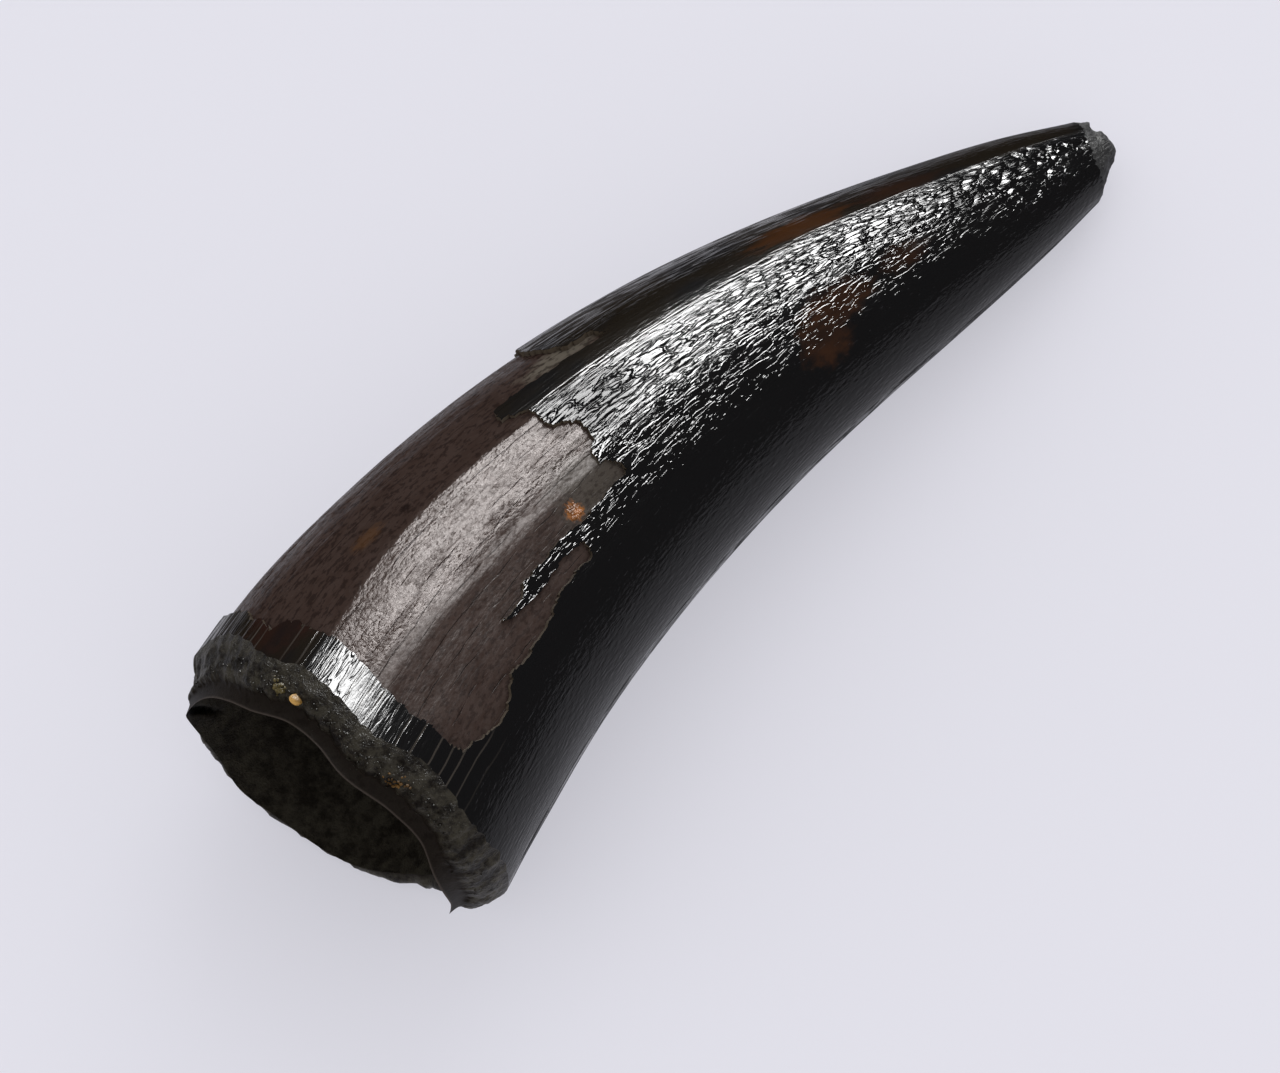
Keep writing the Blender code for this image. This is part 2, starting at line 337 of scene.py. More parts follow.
@dataclass
class ToothForm:
    """The tooth's smooth form: a tapering cone round a bent midline, with two low keels."""

    length: float = 31.45
    headings: Knots = ((0.0, 17.4), (0.35, 3.1), (0.7, -7.3), (1.0, -7.4))
    base_x: float = -14.8
    base_y: float = -0.46
    midline_step: float = 0.1
    beyond_ends: float = 4.0
    radii: Knots = (
        (0.0, 5.46), (0.08, 5.35), (0.2, 5.01), (0.4, 4.37), (0.6, 3.56), (0.8, 2.58), (0.92, 1.87),
        (1.0, 1.27),
    )
    crease: Knots = (
        (0.0, 77.5), (2.0, 76.5), (4.0, 74.5), (6.0, 73.5), (9.0, 75.5), (12.0, 76.5), (15.0, 79.0),
        (18.0, 77.0), (21.0, 73.5), (25.0, 74.5), (31.0, 77.0),
    )
    far_keel_angle: float = 253.0
    band_end: Knots = (
        (0.0, 91.0), (2.0, 91.5), (4.0, 94.0), (8.0, 94.0), (10.2, 95.0), (12.0, 96.5), (14.7, 98.5),
        (16.5, 98.5), (18.0, 98.5), (20.1, 97.5), (22.2, 96.0), (24.4, 97.0), (28.0, 98.0), (31.0, 98.0),
    )
    keel_height: float = 0.13
    keel_spread: float = 17.0
    sunk: float = 0.12
    outer_rim: Knots = (
        (0, 0.6), (20, 0.42), (30, 0.62), (40, 0.75), (50, 0.6), (58, 0.28), (65, 0.12), (78, 0.15),
        (90, -0.25), (103, -0.65), (120, -0.5), (142, -0.9), (165, -0.8), (190, -0.7), (215, -0.2),
        (260, -0.3), (320, -0.1), (345, 0.2),
    )
    inner_rim: Knots = (
        (0, -0.80), (7, -0.93), (11, -0.99), (15, -0.9), (29, -0.77), (45, -0.9), (57, -1.05), (75, -1.05),
        (88, -1.3), (100, -1.7), (125, -1.8), (142, -1.9), (155, -2.25), (180, -2.15), (200, -1.7),
        (209, -0.5), (235, -0.45), (265, -0.85), (300, -0.75), (315, -0.79), (329, -0.57), (346, -0.61),
    )
    walls: Knots = ((10, 0.72), (60, 1.1), (120, 1.25), (180, 1.15), (260, 0.9), (330, 0.75))
    ragged_step: float = 0.04
    ragged_count: int = 200
    base_seed: int = 11
    tip_seed: int = 12
    tip_edge: Knots = ((0, 31.7), (60, 31.5), (100, 31.0), (165, 31.0), (230, 31.1), (300, 31.5))
    stations: np.ndarray = field(init=False)
    midline: np.ndarray = field(init=False)
    outward: np.ndarray = field(init=False)
    upward: np.ndarray = field(init=False)

    def __post_init__(self) -> None:
        """Work out the midline and the directions across it."""
        self.stations = np.arange(-self.beyond_ends, self.length + self.beyond_ends, self.midline_step)
        heading = np.radians(curve_through(self.headings, self.stations / self.length))
        height = self.radius(self.stations)
        level = np.sqrt(1.0 - np.gradient(height, self.stations) ** 2)
        x = np.cumsum(np.cos(heading) * level) * self.midline_step
        y = np.cumsum(np.sin(heading) * level) * self.midline_step
        x += self.base_x - np.interp(0.0, self.stations, x)
        y += self.base_y - np.interp(0.0, self.stations, y)
        self.midline = np.column_stack([x, y, height])
        forward = np.gradient(self.midline, self.stations, axis=0)
        forward /= np.linalg.norm(forward, axis=1)[:, None]
        outward = np.cross((0.0, 0.0, 1.0), forward)
        self.outward = outward / np.linalg.norm(outward, axis=1)[:, None]
        self.upward = np.cross(forward, self.outward)

    def radius(self, along: np.ndarray) -> np.ndarray:
        """Radius of the smooth crown, which keeps its flare past both ends."""
        share = along / self.length
        flare = (self.radii[1][1] - self.radii[0][1]) / (self.radii[1][0] - self.radii[0][0])
        taper = (self.radii[-1][1] - self.radii[-2][1]) / (self.radii[-1][0] - self.radii[-2][0])
        below = flare * np.minimum(share, 0.0)
        above = taper * np.maximum(share - 1.0, 0.0)
        return curve_through(self.radii, share) + below + above

    def keels(self, along: np.ndarray, angle: np.ndarray) -> np.ndarray:
        """Height of the two keels over the smooth crown."""
        fade = np.clip((self.length - along) / self.length, 0.0, 1.0) ** 0.5
        at = (curve_through(self.crease, along), self.far_keel_angle)
        ridges = sum(np.exp(-turn_between(angle, middle) / self.keel_spread) for middle in at)
        return self.keel_height * fade * ridges

    def surface(self, along: np.ndarray, angle: np.ndarray) -> np.ndarray:
        """Reach of the crown's surface from the midline."""
        return self.radius(along) + self.keels(along, angle)

    def ragged(self, angle: np.ndarray, seed: int) -> np.ndarray:
        """Small random steps of a broken edge at an angle."""
        steps = np.random.default_rng(seed).normal(0.0, self.ragged_step, self.ragged_count)
        at = np.arange(self.ragged_count + 1) * FULL_TURN / self.ragged_count
        return np.interp(np.mod(angle, FULL_TURN), at, np.append(steps, steps[0]))

    def base_edge(self, angle: np.ndarray) -> np.ndarray:
        """How far along the enamel's broken edge lies at the base."""
        return curve_round(self.outer_rim, angle) + self.ragged(angle, self.base_seed)

    def lip(self, angle: np.ndarray) -> np.ndarray:
        """How far along the sharp inner edge of the broken base lies."""
        return curve_round(self.inner_rim, angle)

    def tip(self, angle: np.ndarray) -> np.ndarray:
        """How far along the enamel's broken edge lies at the tip."""
        return curve_round(self.tip_edge, angle) + self.ragged(angle, self.tip_seed)

    def read(self, table: np.ndarray, along: np.ndarray) -> np.ndarray:
        """Row of the table for each distance along."""
        return np.stack([np.interp(along, self.stations, table[:, axis]) for axis in range(3)], axis=-1)

    def place(self, along: np.ndarray, angle: np.ndarray, reach: np.ndarray) -> np.ndarray:
        """Points of the laid-down tooth.

        Args:
            along: distance up the midline.
            angle: angle round it in degrees.
            reach: distance out from it.

        Returns:
            Points in millimetres, flattened where the tooth touches the floor.
        """
        points = self.read(self.midline, along) + np.asarray(reach)[..., None] * self.across(along, angle)
        points[..., 2] = np.maximum(points[..., 2] - self.sunk, 0.0)
        return points

    def across(self, along: np.ndarray, angle: np.ndarray) -> np.ndarray:
        """Unit directions straight out from the midline."""
        turn = np.radians(angle)[..., None]
        return np.cos(turn) * self.read(self.outward, along) + np.sin(turn) * self.read(self.upward, along)

    def forward(self, along: np.ndarray) -> np.ndarray:
        """Direction of the midline."""
        return np.cross(self.read(self.outward, along), self.read(self.upward, along))

    def carried(self, along: np.ndarray, angle: np.ndarray, relief: np.ndarray) -> dict[str, np.ndarray]:
        """Values that every piece's points carry.

        Args:
            along: distance up the midline.
            angle: angle round it.
            relief: share of the piece's relief that each point takes.

        Returns:
            The values by name.
        """
        values = {FLOW: self.flow(along, angle), OUTWARD: self.across(along, angle)}
        flat = {label: value.reshape(-1, 3) for label, value in values.items()}
        turn = signed(angle) + 0.0 * along
        past = {
            PAST_CREASE: (turn - curve_through(self.crease, along)).ravel(),
            PAST_BAND: (turn - curve_through(self.band_end, along)).ravel(),
        }
        return {**flat, **past, RELIEF: (relief + 0.0 * along).ravel()}

    def flow(self, along: np.ndarray, angle: np.ndarray) -> np.ndarray:
        """Place on the tooth as if its midline were straight, so that a pattern follows its bend."""
        turn = np.radians(angle)
        reach = self.radius(along)
        return np.stack([reach * np.cos(turn), reach * np.sin(turn), along + 0.0 * angle], axis=-1)


# ---------------------------------------------------------------------------
# Meshes
# ---------------------------------------------------------------------------


@dataclass
class Skin:
    """Points, faces and values of a mesh in the making."""

    points: np.ndarray
    faces: np.ndarray
    values: dict[str, np.ndarray]

    def object(self, name: str, material: bpy.types.Material) -> bpy.types.Object:
        """Make a mesh object of it.

        Args:
            name: the piece's name.
            material: its finish.

        Returns:
            The object, in metres, in the scene.
        """
        mesh = bpy.data.meshes.new(name)
        mesh.from_pydata((self.points * MM).tolist(), [], self.faces.tolist())
        for label, value in self.values.items():
            wide = value.ndim == 2
            layer = mesh.attributes.new(label, "FLOAT_VECTOR" if wide else "FLOAT", "POINT")
            layer.data.foreach_set("vector" if wide else "value", value.astype(np.float32).ravel())
        mesh.shade_smooth()
        mesh.materials.append(material)
        piece = bpy.data.objects.new(name, mesh)
        bpy.context.scene.collection.objects.link(piece)
        return piece

    def compact(self) -> Skin:
        """The same skin without the points that no face uses."""
        used, faces = np.unique(self.faces, return_inverse=True)
        values = {label: value[used] for label, value in self.values.items()}
        return Skin(self.points[used], faces.reshape(self.faces.shape), values)


def grid_faces(rows: int, columns: int, closed: bool) -> np.ndarray:
    """Quads of a grid of points, row after row, with the last column joined to the first if closed."""
    wide = columns if closed else columns - 1
    row, column = np.meshgrid(np.arange(rows - 1), np.arange(wide), indexing="ij")
    beside = (column + 1) % columns
    first, second = row * columns + column, row * columns + beside
    return np.stack([first, second, second + columns, first + columns], axis=-1).reshape(-1, 4)


def open_edges(faces: np.ndarray) -> np.ndarray:
    """Directed edges of the faces that no other face shares."""
    ends = np.concatenate([faces[:, [k, (k + 1) % 4]] for k in range(4)])
    size = int(ends.max()) + 1
    forward = ends[:, 0] * size + ends[:, 1]
    backward = ends[:, 1] * size + ends[:, 0]
    return ends[~np.isin(forward, backward)]


@dataclass
class BrokenOutline:
    """The outline of the window where the enamel has flaked off, as (along, angle) corners."""

    corners: Knots
    step: float = 0.16
    ragged: float = 0.05
    seed: int = 5
    usual_radius: float = 5.0

    @property
    def per_degree(self) -> float:
        """Millimetres to a degree at the window's usual radius."""
        return math.radians(1.0) * self.usual_radius

    def fine(self, form: ToothForm) -> np.ndarray:
        """The outline with short ragged steps between its corners.

        Args:
            form: gives the tooth's radius, so that the steps are even in millimetres.

        Returns:
            Corners as rows of (along, angle).
        """
        corners = np.array(self.corners, float)
        points = []
        for start, end in zip(corners, np.roll(corners, -1, axis=0)):
            per_degree = math.radians(1.0) * float(form.radius(np.array(0.5 * (start[0] + end[0]))))
            run = math.hypot(end[0] - start[0], (end[1] - start[1]) * per_degree)
            count = max(1, round(run / self.step))
            share = np.linspace(0.0, 1.0, count, endpoint=False)[:, None]
            points.append(start + (end - start) * share)
        line = np.concatenate(points)
        steps = [ragged_steps(len(line), self.ragged, self.seed + axis) for axis in range(2)]
        return line + np.stack(steps, axis=-1) * (1.0, 1.0 / self.per_degree)


def nearest_on(outline: np.ndarray, places: np.ndarray) -> tuple[np.ndarray, np.ndarray]:
    """The nearest place on a closed outline to each place.

    Args:
        outline: corners of the outline.
        places: rows of places, in the same units.

    Returns:
        The nearest places, and how far off they are along the further axis.
    """
    nearest = np.full(places.shape, np.inf)
    distance = np.full(len(places), np.inf)
    for start, end in zip(outline, np.roll(outline, -1, axis=0)):
        edge = end - start
        share = np.clip(((places - start) @ edge) / max(edge @ edge, TINY), 0.0, 1.0)
        foot = start + share[:, None] * edge
        gap = np.abs(places - foot).max(axis=1)
        closer = gap < distance
        nearest[closer] = foot[closer]
        distance[closer] = gap[closer]
    return nearest, distance


def inside(outline: np.ndarray, places: np.ndarray) -> np.ndarray:
    """Whether each place lies inside a closed outline."""
    within = np.zeros(len(places), bool)
    for start, end in zip(outline, np.roll(outline, -1, axis=0)):
        spans = (start[1] > places[:, 1]) != (end[1] > places[:, 1])
        rise = end[1] - start[1] if end[1] != start[1] else 1.0
        crossing = start[0] + (places[:, 1] - start[1]) * (end[0] - start[0]) / rise
        within ^= spans & (places[:, 0] < crossing)
    return within


def into_plain_mesh(
    piece: bpy.types.Object, tree: bpy.types.NodeTree, given: dict[str, object]
) -> bpy.types.Object:
    """Run a piece through a tree and keep the result as a plain mesh.

    Args:
        piece: the mesh object.
        tree: the Geometry Nodes tree.
        given: what the tree's named inputs get.

    Returns:
        The same object with its new mesh.
    """
    modifier = piece.modifiers.new(tree.name, "NODES")
    modifier.node_group = tree
    for socket in tree.interface.items_tree:
        if socket.in_out == "INPUT" and socket.name in given:
            modifier[socket.identifier] = given[socket.name]
    graph = bpy.context.evaluated_depsgraph_get()
    mesh = bpy.data.meshes.new_from_object(
        piece.evaluated_get(graph), preserve_all_data_layers=True, depsgraph=graph
    )
    piece.modifiers.clear()
    plain = piece.data
    piece.data = mesh
    bpy.data.meshes.remove(plain)
    mesh.name = piece.name
    return piece


def open_tree(name: str, sizes: dict[str, float]) -> tuple[Graph, Value, dict[str, Value]]:
    """Start a Geometry Nodes tree.

    Args:
        name: the tree's name.
        sizes: the sizes that get an input of their own name.

    Returns:
        The graph, the tree's inputs, and the input of each size.
    """
    tree = bpy.data.node_groups.new(name, "GeometryNodeTree")
    inputs = {"Geometry": "Geometry", **{label: "Float" for label in sizes}, "Material": "Material"}
    for label, kind in inputs.items():
        tree.interface.new_socket(label, in_out="INPUT", socket_type="NodeSocket" + kind)
    tree.interface.new_socket("Geometry", in_out="OUTPUT", socket_type="NodeSocketGeometry")
    graph = Graph(tree)
    given = graph.node("NodeGroupInput", {}, {})
    return graph, given, {label: given.out(label) for label in sizes}


def close_tree(graph: Graph, given: Value, geometry: Value) -> bpy.types.NodeTree:
    """End a Geometry Nodes tree.

    Args:
        graph: the graph in the making.
        given: the tree's inputs.
        geometry: what it has made, with its instances realized.

    Returns:
        The tree, whose geometry gets the material that it is given.
    """
    inputs = {"Geometry": geometry, "Material": given.out("Material")}
    dressed = graph.node("GeometryNodeSetMaterial", {}, inputs)
    graph.node("NodeGroupOutput", {}, {"Geometry": dressed})
    return graph.tree


def carried_value(graph: Graph, name: str, kind: str = "FLOAT_VECTOR") -> Value:
    """A value that the mesh carries, in Geometry Nodes."""
    return graph.node("GeometryNodeInputNamedAttribute", {"data_type": kind}, {"Name": name})


class Relief:
    """Raises a piece's surface by a rule, in Geometry Nodes, and leaves a plain mesh."""

    sizes: dict[str, float] = {}

    def rule(self, graph: Graph, flow: Value, size: dict[str, Value]) -> Value:
        """Height to raise the surface by, in millimetres.

        Args:
            graph: the tree in the making.
            flow: the flow coordinates.
            size: the tree's named inputs.

        Returns:
            The height at each point.
        """
        raise NotImplementedError

    def pattern(self, graph: Graph, flow: Value, size: dict[str, Value], name: str) -> Value:
        """Noise about zero, of the named height, width and length."""
        across, along = (1.0 / size[f"{name} {side}"] for side in ("width", "length"))
        stretch = graph.node("ShaderNodeCombineXYZ", {}, {"X": across, "Y": across, "Z": along})
        return (graph.noise(flow * stretch) - 0.5) * size[name + " height"]

    def tree(self, name: str) -> bpy.types.NodeTree:
        """Build the tree, with an input for each size."""
        graph, given, size = open_tree(name, self.sizes)
        flow, outward = (carried_value(graph, label) for label in (FLOW, OUTWARD))
        share = carried_value(graph, RELIEF, "FLOAT")
        offset = outward * (self.rule(graph, flow, size) * share * MM)
        raised = graph.node("GeometryNodeSetPosition", {}, {"Geometry": given, "Offset": offset})
        whole = graph.node("GeometryNodeRealizeInstances", {}, {"Geometry": raised})
        return close_tree(graph, given, whole)

    def apply(self, piece: bpy.types.Object, material: bpy.types.Material) -> bpy.types.Object:
        """Raise a piece's surface.

        Args:
            piece: the mesh object, whose points carry the flow, outward and relief values.
            material: the piece's finish.

        Returns:
            The same object with its new plain mesh.
        """
        into_plain_mesh(piece, self.tree(piece.name + "_relief"), {**self.sizes, "Material": material})
        piece.data.set_sharp_from_angle(angle=math.radians(SHARP_ANGLE))
        return piece


class GrainScatter:
    """Sets a lumpy grain on each point of a mesh, in Geometry Nodes."""

    sizes = {"Lump height": 0.3, "Lump width": 0.9}
    subdivisions = 3

    def tree(self, name: str) -> bpy.types.NodeTree:
        """Build the tree, whose grains take their half sizes and turns from the points."""
        graph, given, sizes = open_tree(name, self.sizes)
        half, turn = (carried_value(graph, label) for label in (HALF_SIZE, TURN))
        inputs = {"Radius": 1.0, "Subdivisions": self.subdivisions}
        ball = graph.node("GeometryNodeMeshIcoSphere", {}, inputs)
        smooth = graph.node("GeometryNodeSetShadeSmooth", {}, {"Geometry": ball})
        inputs = {"Points": given, "Instance": smooth, "Rotation": turn, "Scale": half * MM}
        grains = graph.node("GeometryNodeInstanceOnPoints", {}, inputs)
        whole = graph.node("GeometryNodeRealizeInstances", {}, {"Geometry": grains})
        place = graph.node("GeometryNodeInputPosition", {}, {}) * (1.0 / MM)
        normal = graph.node("GeometryNodeInputNormal", {}, {})
        size = graph.node("ShaderNodeVectorMath", {"operation": "LENGTH"}, {0: half}).out("Value")
        lump = graph.noise(place * (1.0 / (size * sizes["Lump width"])), 1.0) - 0.5
        offset = normal * (lump * size * sizes["Lump height"] * MM)
        lumpy = graph.node("GeometryNodeSetPosition", {}, {"Geometry": whole, "Offset": offset})
        return close_tree(graph, given, lumpy)


# ---------------------------------------------------------------------------
# Finishes
# ---------------------------------------------------------------------------


def new_material(name: str) -> tuple[bpy.types.Material, Graph]:
    """An empty node material and its graph."""
    material = bpy.data.materials.new(name)
    material.use_nodes = True
    return material, Graph(material.node_tree)


def finish_material(graph: Graph, inputs: dict[str, object], dull: Value | None = None) -> None:
    """End a material in a Principled shader with these inputs.

    Args:
        graph: the shader tree.
        inputs: the shader's inputs.
        dull: where the surface doesn't shine, from 0 to 1.
    """
    shader = graph.node("ShaderNodeBsdfPrincipled", {}, inputs)
    if dull is not None:
        matte = graph.node("ShaderNodeBsdfPrincipled", {}, {**inputs, **MATTE})
        shader = graph.node("ShaderNodeMixShader", {}, {0: dull, 1: shader, 2: matte})
    graph.node("ShaderNodeOutputMaterial", {}, {"Surface": shader})


def stretched(where: Value, across: float, along: float, shift: float = 0.0) -> Value:
    """A place counted in grains of the given width across the tooth and length along it.

    Args:
        where: the flow coordinates, in millimetres.
        across: width of a grain across the tooth.
        along: length of a grain along the tooth.
        shift: an offset that keeps two patterns apart.

    Returns:
        The place in units of one grain.
    """
    return where * (1.0 / across, 1.0 / across, 1.0 / along) + (shift, shift, shift)


@dataclass(frozen=True)
class Cloud:
    """Noise whose clouds are drawn out along the tooth.

    The span is where the noise starts to count and where it counts in full, the amount is how deep or how
    strong it is, and the warp is the scale and reach of a slow noise that pushes it about.
    """

    width: float
    length: float
    shift: float = 0.0
    detail: float = 2.0
    rough: float = 0.5
    span: Span = (0.0, 1.0)
    amount: float = 1.0
    warp: Span | None = None

    def place(self, graph: Graph, flow: Value) -> Value:
        """The place counted in clouds."""
        where = stretched(flow, self.width, self.length, self.shift)
        return graph.warped(where, *self.warp) if self.warp else where

    def noise(self, graph: Graph, flow: Value) -> Value:
        """The noise, from 0 to 1."""
        return graph.noise(self.place(graph, flow), self.detail, self.rough)

    def share(self, graph: Graph, flow: Value) -> Value:
        """How far the noise has come through its span."""
        return self.noise(graph, flow).steps(*self.span)


@dataclass(frozen=True)
class Lines:
    """Thin lines along the tooth at uneven spacing, in radians, that wander and may come and go."""

    spacing: float
    width: float
    wander: Cloud
    amount: float
    seen: Cloud | None = None
    core: float = 0.4

    def share(self, graph: Graph, flow: Value) -> Value:
        """1 on a line and 0 off it."""
        wander = self.wander.noise(graph, flow) * self.wander.amount
        across = graph.turn(flow) * (1.0 / self.spacing)
        settings = {"voronoi_dimensions": "1D", "feature": "DISTANCE_TO_EDGE"}
        edge = graph.node("ShaderNodeTexVoronoi", settings, {"W": across + wander, "Scale": 1.0})
        lines = edge.steps(self.width, self.width * self.core)
        return lines * self.seen.share(graph, flow) if self.seen else lines


@dataclass(frozen=True)
class Patch:
    """A soft-edged spot on the tooth, of its own color or its own dullness."""

    along: float
    angle: float
    length: float
    width: float
    strength: float
    color: Color = (0.0, 0.0, 0.0)
    cloud_size: float = 0.35
    cloud_detail: float = 3.0
    raggedness: float = 1.3
    edge: Span = (1.25, 0.45)

    def share(self, graph: Graph, flow: Value, form: ToothForm) -> Value:
        """How much of the spot shows.

        Args:
            graph: the shader tree.
            flow: the flow coordinates.
            form: gives the place of the spot's middle.

        Returns:
            0 outside the spot, up to its strength inside.
        """
        middle = form.flow(np.array(self.along), np.array(self.angle))
        stretch = (1.0 / self.width, 1.0 / self.width, 1.0 / self.length)
        offset = (flow - tuple(float(part) for part in middle)) * stretch
        distance = graph.node("ShaderNodeVectorMath", {"operation": "LENGTH"}, {0: offset}).out("Value")
        across, along = self.cloud_size * self.width, self.cloud_size * self.length
        cloud = graph.noise(stretched(flow, across, along, self.along), self.cloud_detail)
        return (distance + (cloud - 0.5) * self.raggedness).steps(*self.edge) * self.strength


@dataclass(frozen=True)
class EnamelFinish:
    """Glossy, near-black enamel with fine wrinkles that run along the tooth.

    Depths are in millimetres. Spans are angles in degrees round the tooth, or distances along it where their
    name says so, and run from where a thing starts to where it is in full.
    """

    form: ToothForm
    color: Color = (0.0075, 0.0072, 0.0076)
    olive: Color = (0.012, 0.009, 0.006)
    chip_color: Color = (0.085, 0.066, 0.048)
    crack_color: Color = (0.055, 0.047, 0.040)
    crack_strength: float = 0.8
    patches: tuple[Patch, ...] = (
        Patch(1.2, 60.0, 1.1, 1.2, 0.9, BROWN_STAIN), Patch(24.2, 62.0, 2.6, 0.45, 0.5, BROWN_STAIN),
        Patch(20.7, 62.5, 2.3, 0.5, 0.9, AMBER), Patch(24.6, 66.0, 2.2, 0.35, 0.2, AMBER),
        Patch(19.9, 111.0, 1.5, 0.55, 0.9, RUST_STAIN), Patch(22.7, 108.0, 1.1, 0.4, 0.4, RUST_STAIN),
        Patch(18.9, 122.0, 1.0, 0.8, 0.6, RUST_STAIN),
    )
    tint_cloud: Cloud = Cloud(1.2, 3.0, 2.0, detail=3.0, span=(0.3, 0.6))
    patch_span: Span = (0.32, 0.60)
    patch_floor: float = 0.4
    olive_past_crease: Span = (1.0, -3.0)
    olive_side: Span = (10.0, 40.0)
    ior: float = 1.5
    specular: float = 0.18
    roughness: float = 0.09
    smooth_roughness: float = 0.16
    chip_roughness: float = 0.3
    smudge: Cloud = Cloud(0.7, 2.2, 15.0, span=(0.50, 0.66), amount=0.12)
    wrinkle: Cloud = Cloud(0.14, 0.62, amount=0.040, warp=(0.35, 2.2))
    wrinkle_loss: float = 0.8
    wrinkle_tip_loss: float = 0.75
    wrinkle_crease_loss: float = 0.5
    groove: Cloud = Cloud(0.18, 1.1, 7.0, amount=-0.030, warp=(0.6, 0.8))
    groove_share: float = 0.08
    groove_loss: float = 0.7
    past_band: Span = (-4.0, 2.0)
    speck: Cloud = Cloud(0.085, 0.34, 17.0, detail=1.0, span=(0.585, 0.78), amount=0.034, warp=(0.7, 0.8))
    speck_side: Span = (134.0, 114.0)
    pebble: Cloud = Cloud(0.25, 0.48, 3.0, amount=0.070, warp=(0.5, 1.2))
    pebble_along: Span = (21.0, 28.0)
    grain: Cloud = Cloud(0.045, 0.10, 5.0, detail=1.0, amount=0.006)
    stria: Cloud = Cloud(0.10, 2.6, 9.0, amount=0.012)
    stria_side: Span = (62.0, 52.0)
    stria_gain: float = 2.0
    leather: Cloud = Cloud(0.11, 0.30, 33.0, amount=0.020)
    leather_side: Span = (104.0, 124.0)
    crease_lines: Lines = Lines(0.028, 0.22, Cloud(0.6, 3.0, 4.0, amount=1.5), 0.02)
    crease_near: Span = (-4.0, -1.0)
    crease_far: Span = (5.0, 1.0)
    crack_lines: Lines = Lines(
        0.085, 0.08, Cloud(1.0, 1.0, detail=1.0, amount=0.35), 0.004,
        Cloud(0.5, 8.0, 11.0, detail=1.0, span=(0.36, 0.56)),
    )
    streak: Cloud = Cloud(0.17, 2.6, 21.0, 3.0, 0.6, span=(0.40, 0.58), amount=0.85)
    streak_side: Span = (70.0, 56.0)
    gap: Cloud = Cloud(0.26, 0.8, 27.0, span=(0.54, 0.47))
    gap_along: Span = (21.0, 28.0)
    gap_gain: float = 0.5
    gap_strength: float = 0.32
    worn: Patch = Patch(11.4, 86.0, 2.0, 1.3, 0.6)
    dull_tip_side: Span = (76.0, 68.0)
    dull_tip_along: Span = (19.0, 26.0)
    dull_tip_strength: float = 0.7
    dull_inner_side: Span = (118.0, 150.0)
    dull_inner_strength: float = 0.4

    def build(self) -> bpy.types.Material:
        """Make the material."""
        material, graph = new_material("enamel")
        flow = graph.attribute(FLOW, "Vector")
        chip, wrinkled, strip = (graph.attribute(name) for name in (CHIP, WRINKLED, STRIP))
        cracks = self.crack_lines.share(graph, flow) * strip
        height = self.height(graph, flow, wrinkled) - cracks * self.crack_lines.amount
        color = graph.mix(cracks * self.crack_strength, self.tint(graph, flow), self.crack_color)
        smudges = self.smudge.share(graph, flow) * wrinkled * self.smudge.amount
        roughness = wrinkled * (self.roughness - self.smooth_roughness) + self.smooth_roughness
        inputs = {
            "Base Color": graph.mix(chip, color, self.chip_color),
            "Roughness": roughness + chip * self.chip_roughness + smudges,
            "IOR": self.ior, "Specular IOR Level": self.specular, "Normal": graph.bump(height * MM),
        }
        finish_material(graph, inputs, self.unpolished(graph, flow, wrinkled))
        return material

    def unpolished(self, graph: Graph, flow: Value, wrinkled: Value) -> Value:
        """Dull streaks on the outer side, gaps towards the tip, and a little less shine on the inner side."""
        angle, along = graph.degrees(flow), flow.part("Z")
        streaks = self.streak.share(graph, flow) * angle.steps(*self.streak_side) * self.streak.amount
        toward_tip = along.steps(*self.gap_along) * self.gap_gain + self.gap_strength
        gaps = self.gap.share(graph, flow) * wrinkled * toward_tip
        tip_side = angle.steps(*self.dull_tip_side) * along.steps(*self.dull_tip_along)
        return graph.largest(
            streaks, tip_side * self.dull_tip_strength, gaps, self.worn.share(graph, flow, self.form),
            angle.steps(*self.dull_inner_side) * self.dull_inner_strength,
        )

    def height(self, graph: Graph, flow: Value, wrinkled: Value) -> Value:
        """Height of the wrinkles, pebbles, specks and striae in millimetres."""
        angle = graph.degrees(flow)
        past_crease, beyond = graph.attribute(PAST_CREASE), graph.attribute(PAST_BAND).steps(*self.past_band)
        at_crease = past_crease.steps(*self.crease_far)
        beside = past_crease.steps(*self.crease_near) * at_crease
        toward_tip = flow.part("Z").steps(*self.pebble_along)
        fine = graph.domes(self.wrinkle.place(graph, flow)) * (1.0 - beyond * self.wrinkle_loss)
        fine = fine * (1.0 - toward_tip * self.wrinkle_tip_loss) * self.wrinkle.amount
        fine = fine * (1.0 - at_crease * self.wrinkle_crease_loss)
        grooves = graph.grooves(self.groove.place(graph, flow), self.groove_share) * self.groove.amount
        grooves = grooves * (1.0 - beyond * self.groove_loss) * (1.0 - at_crease * self.groove_loss)
        specks = self.speck.share(graph, flow) * beyond * angle.steps(*self.speck_side)
        specks = specks * (1.0 - graph.attribute(STRIP)) * self.speck.amount
        pebbles = graph.domes(self.pebble.place(graph, flow)) * (toward_tip * self.pebble.amount)
        grain = self.grain.noise(graph, flow) * self.grain.amount
        edge = angle.steps(*self.stria_side) * self.stria_gain + 1.0
        striae = self.stria.noise(graph, flow) * edge * self.stria.amount
        lines = self.crease_lines.share(graph, flow) * beside * self.crease_lines.amount
        leather = self.leather.noise(graph, flow) * angle.steps(*self.leather_side) * self.leather.amount
        return wrinkled * (fine + grooves + pebbles + grain + specks) + (striae - lines) + leather

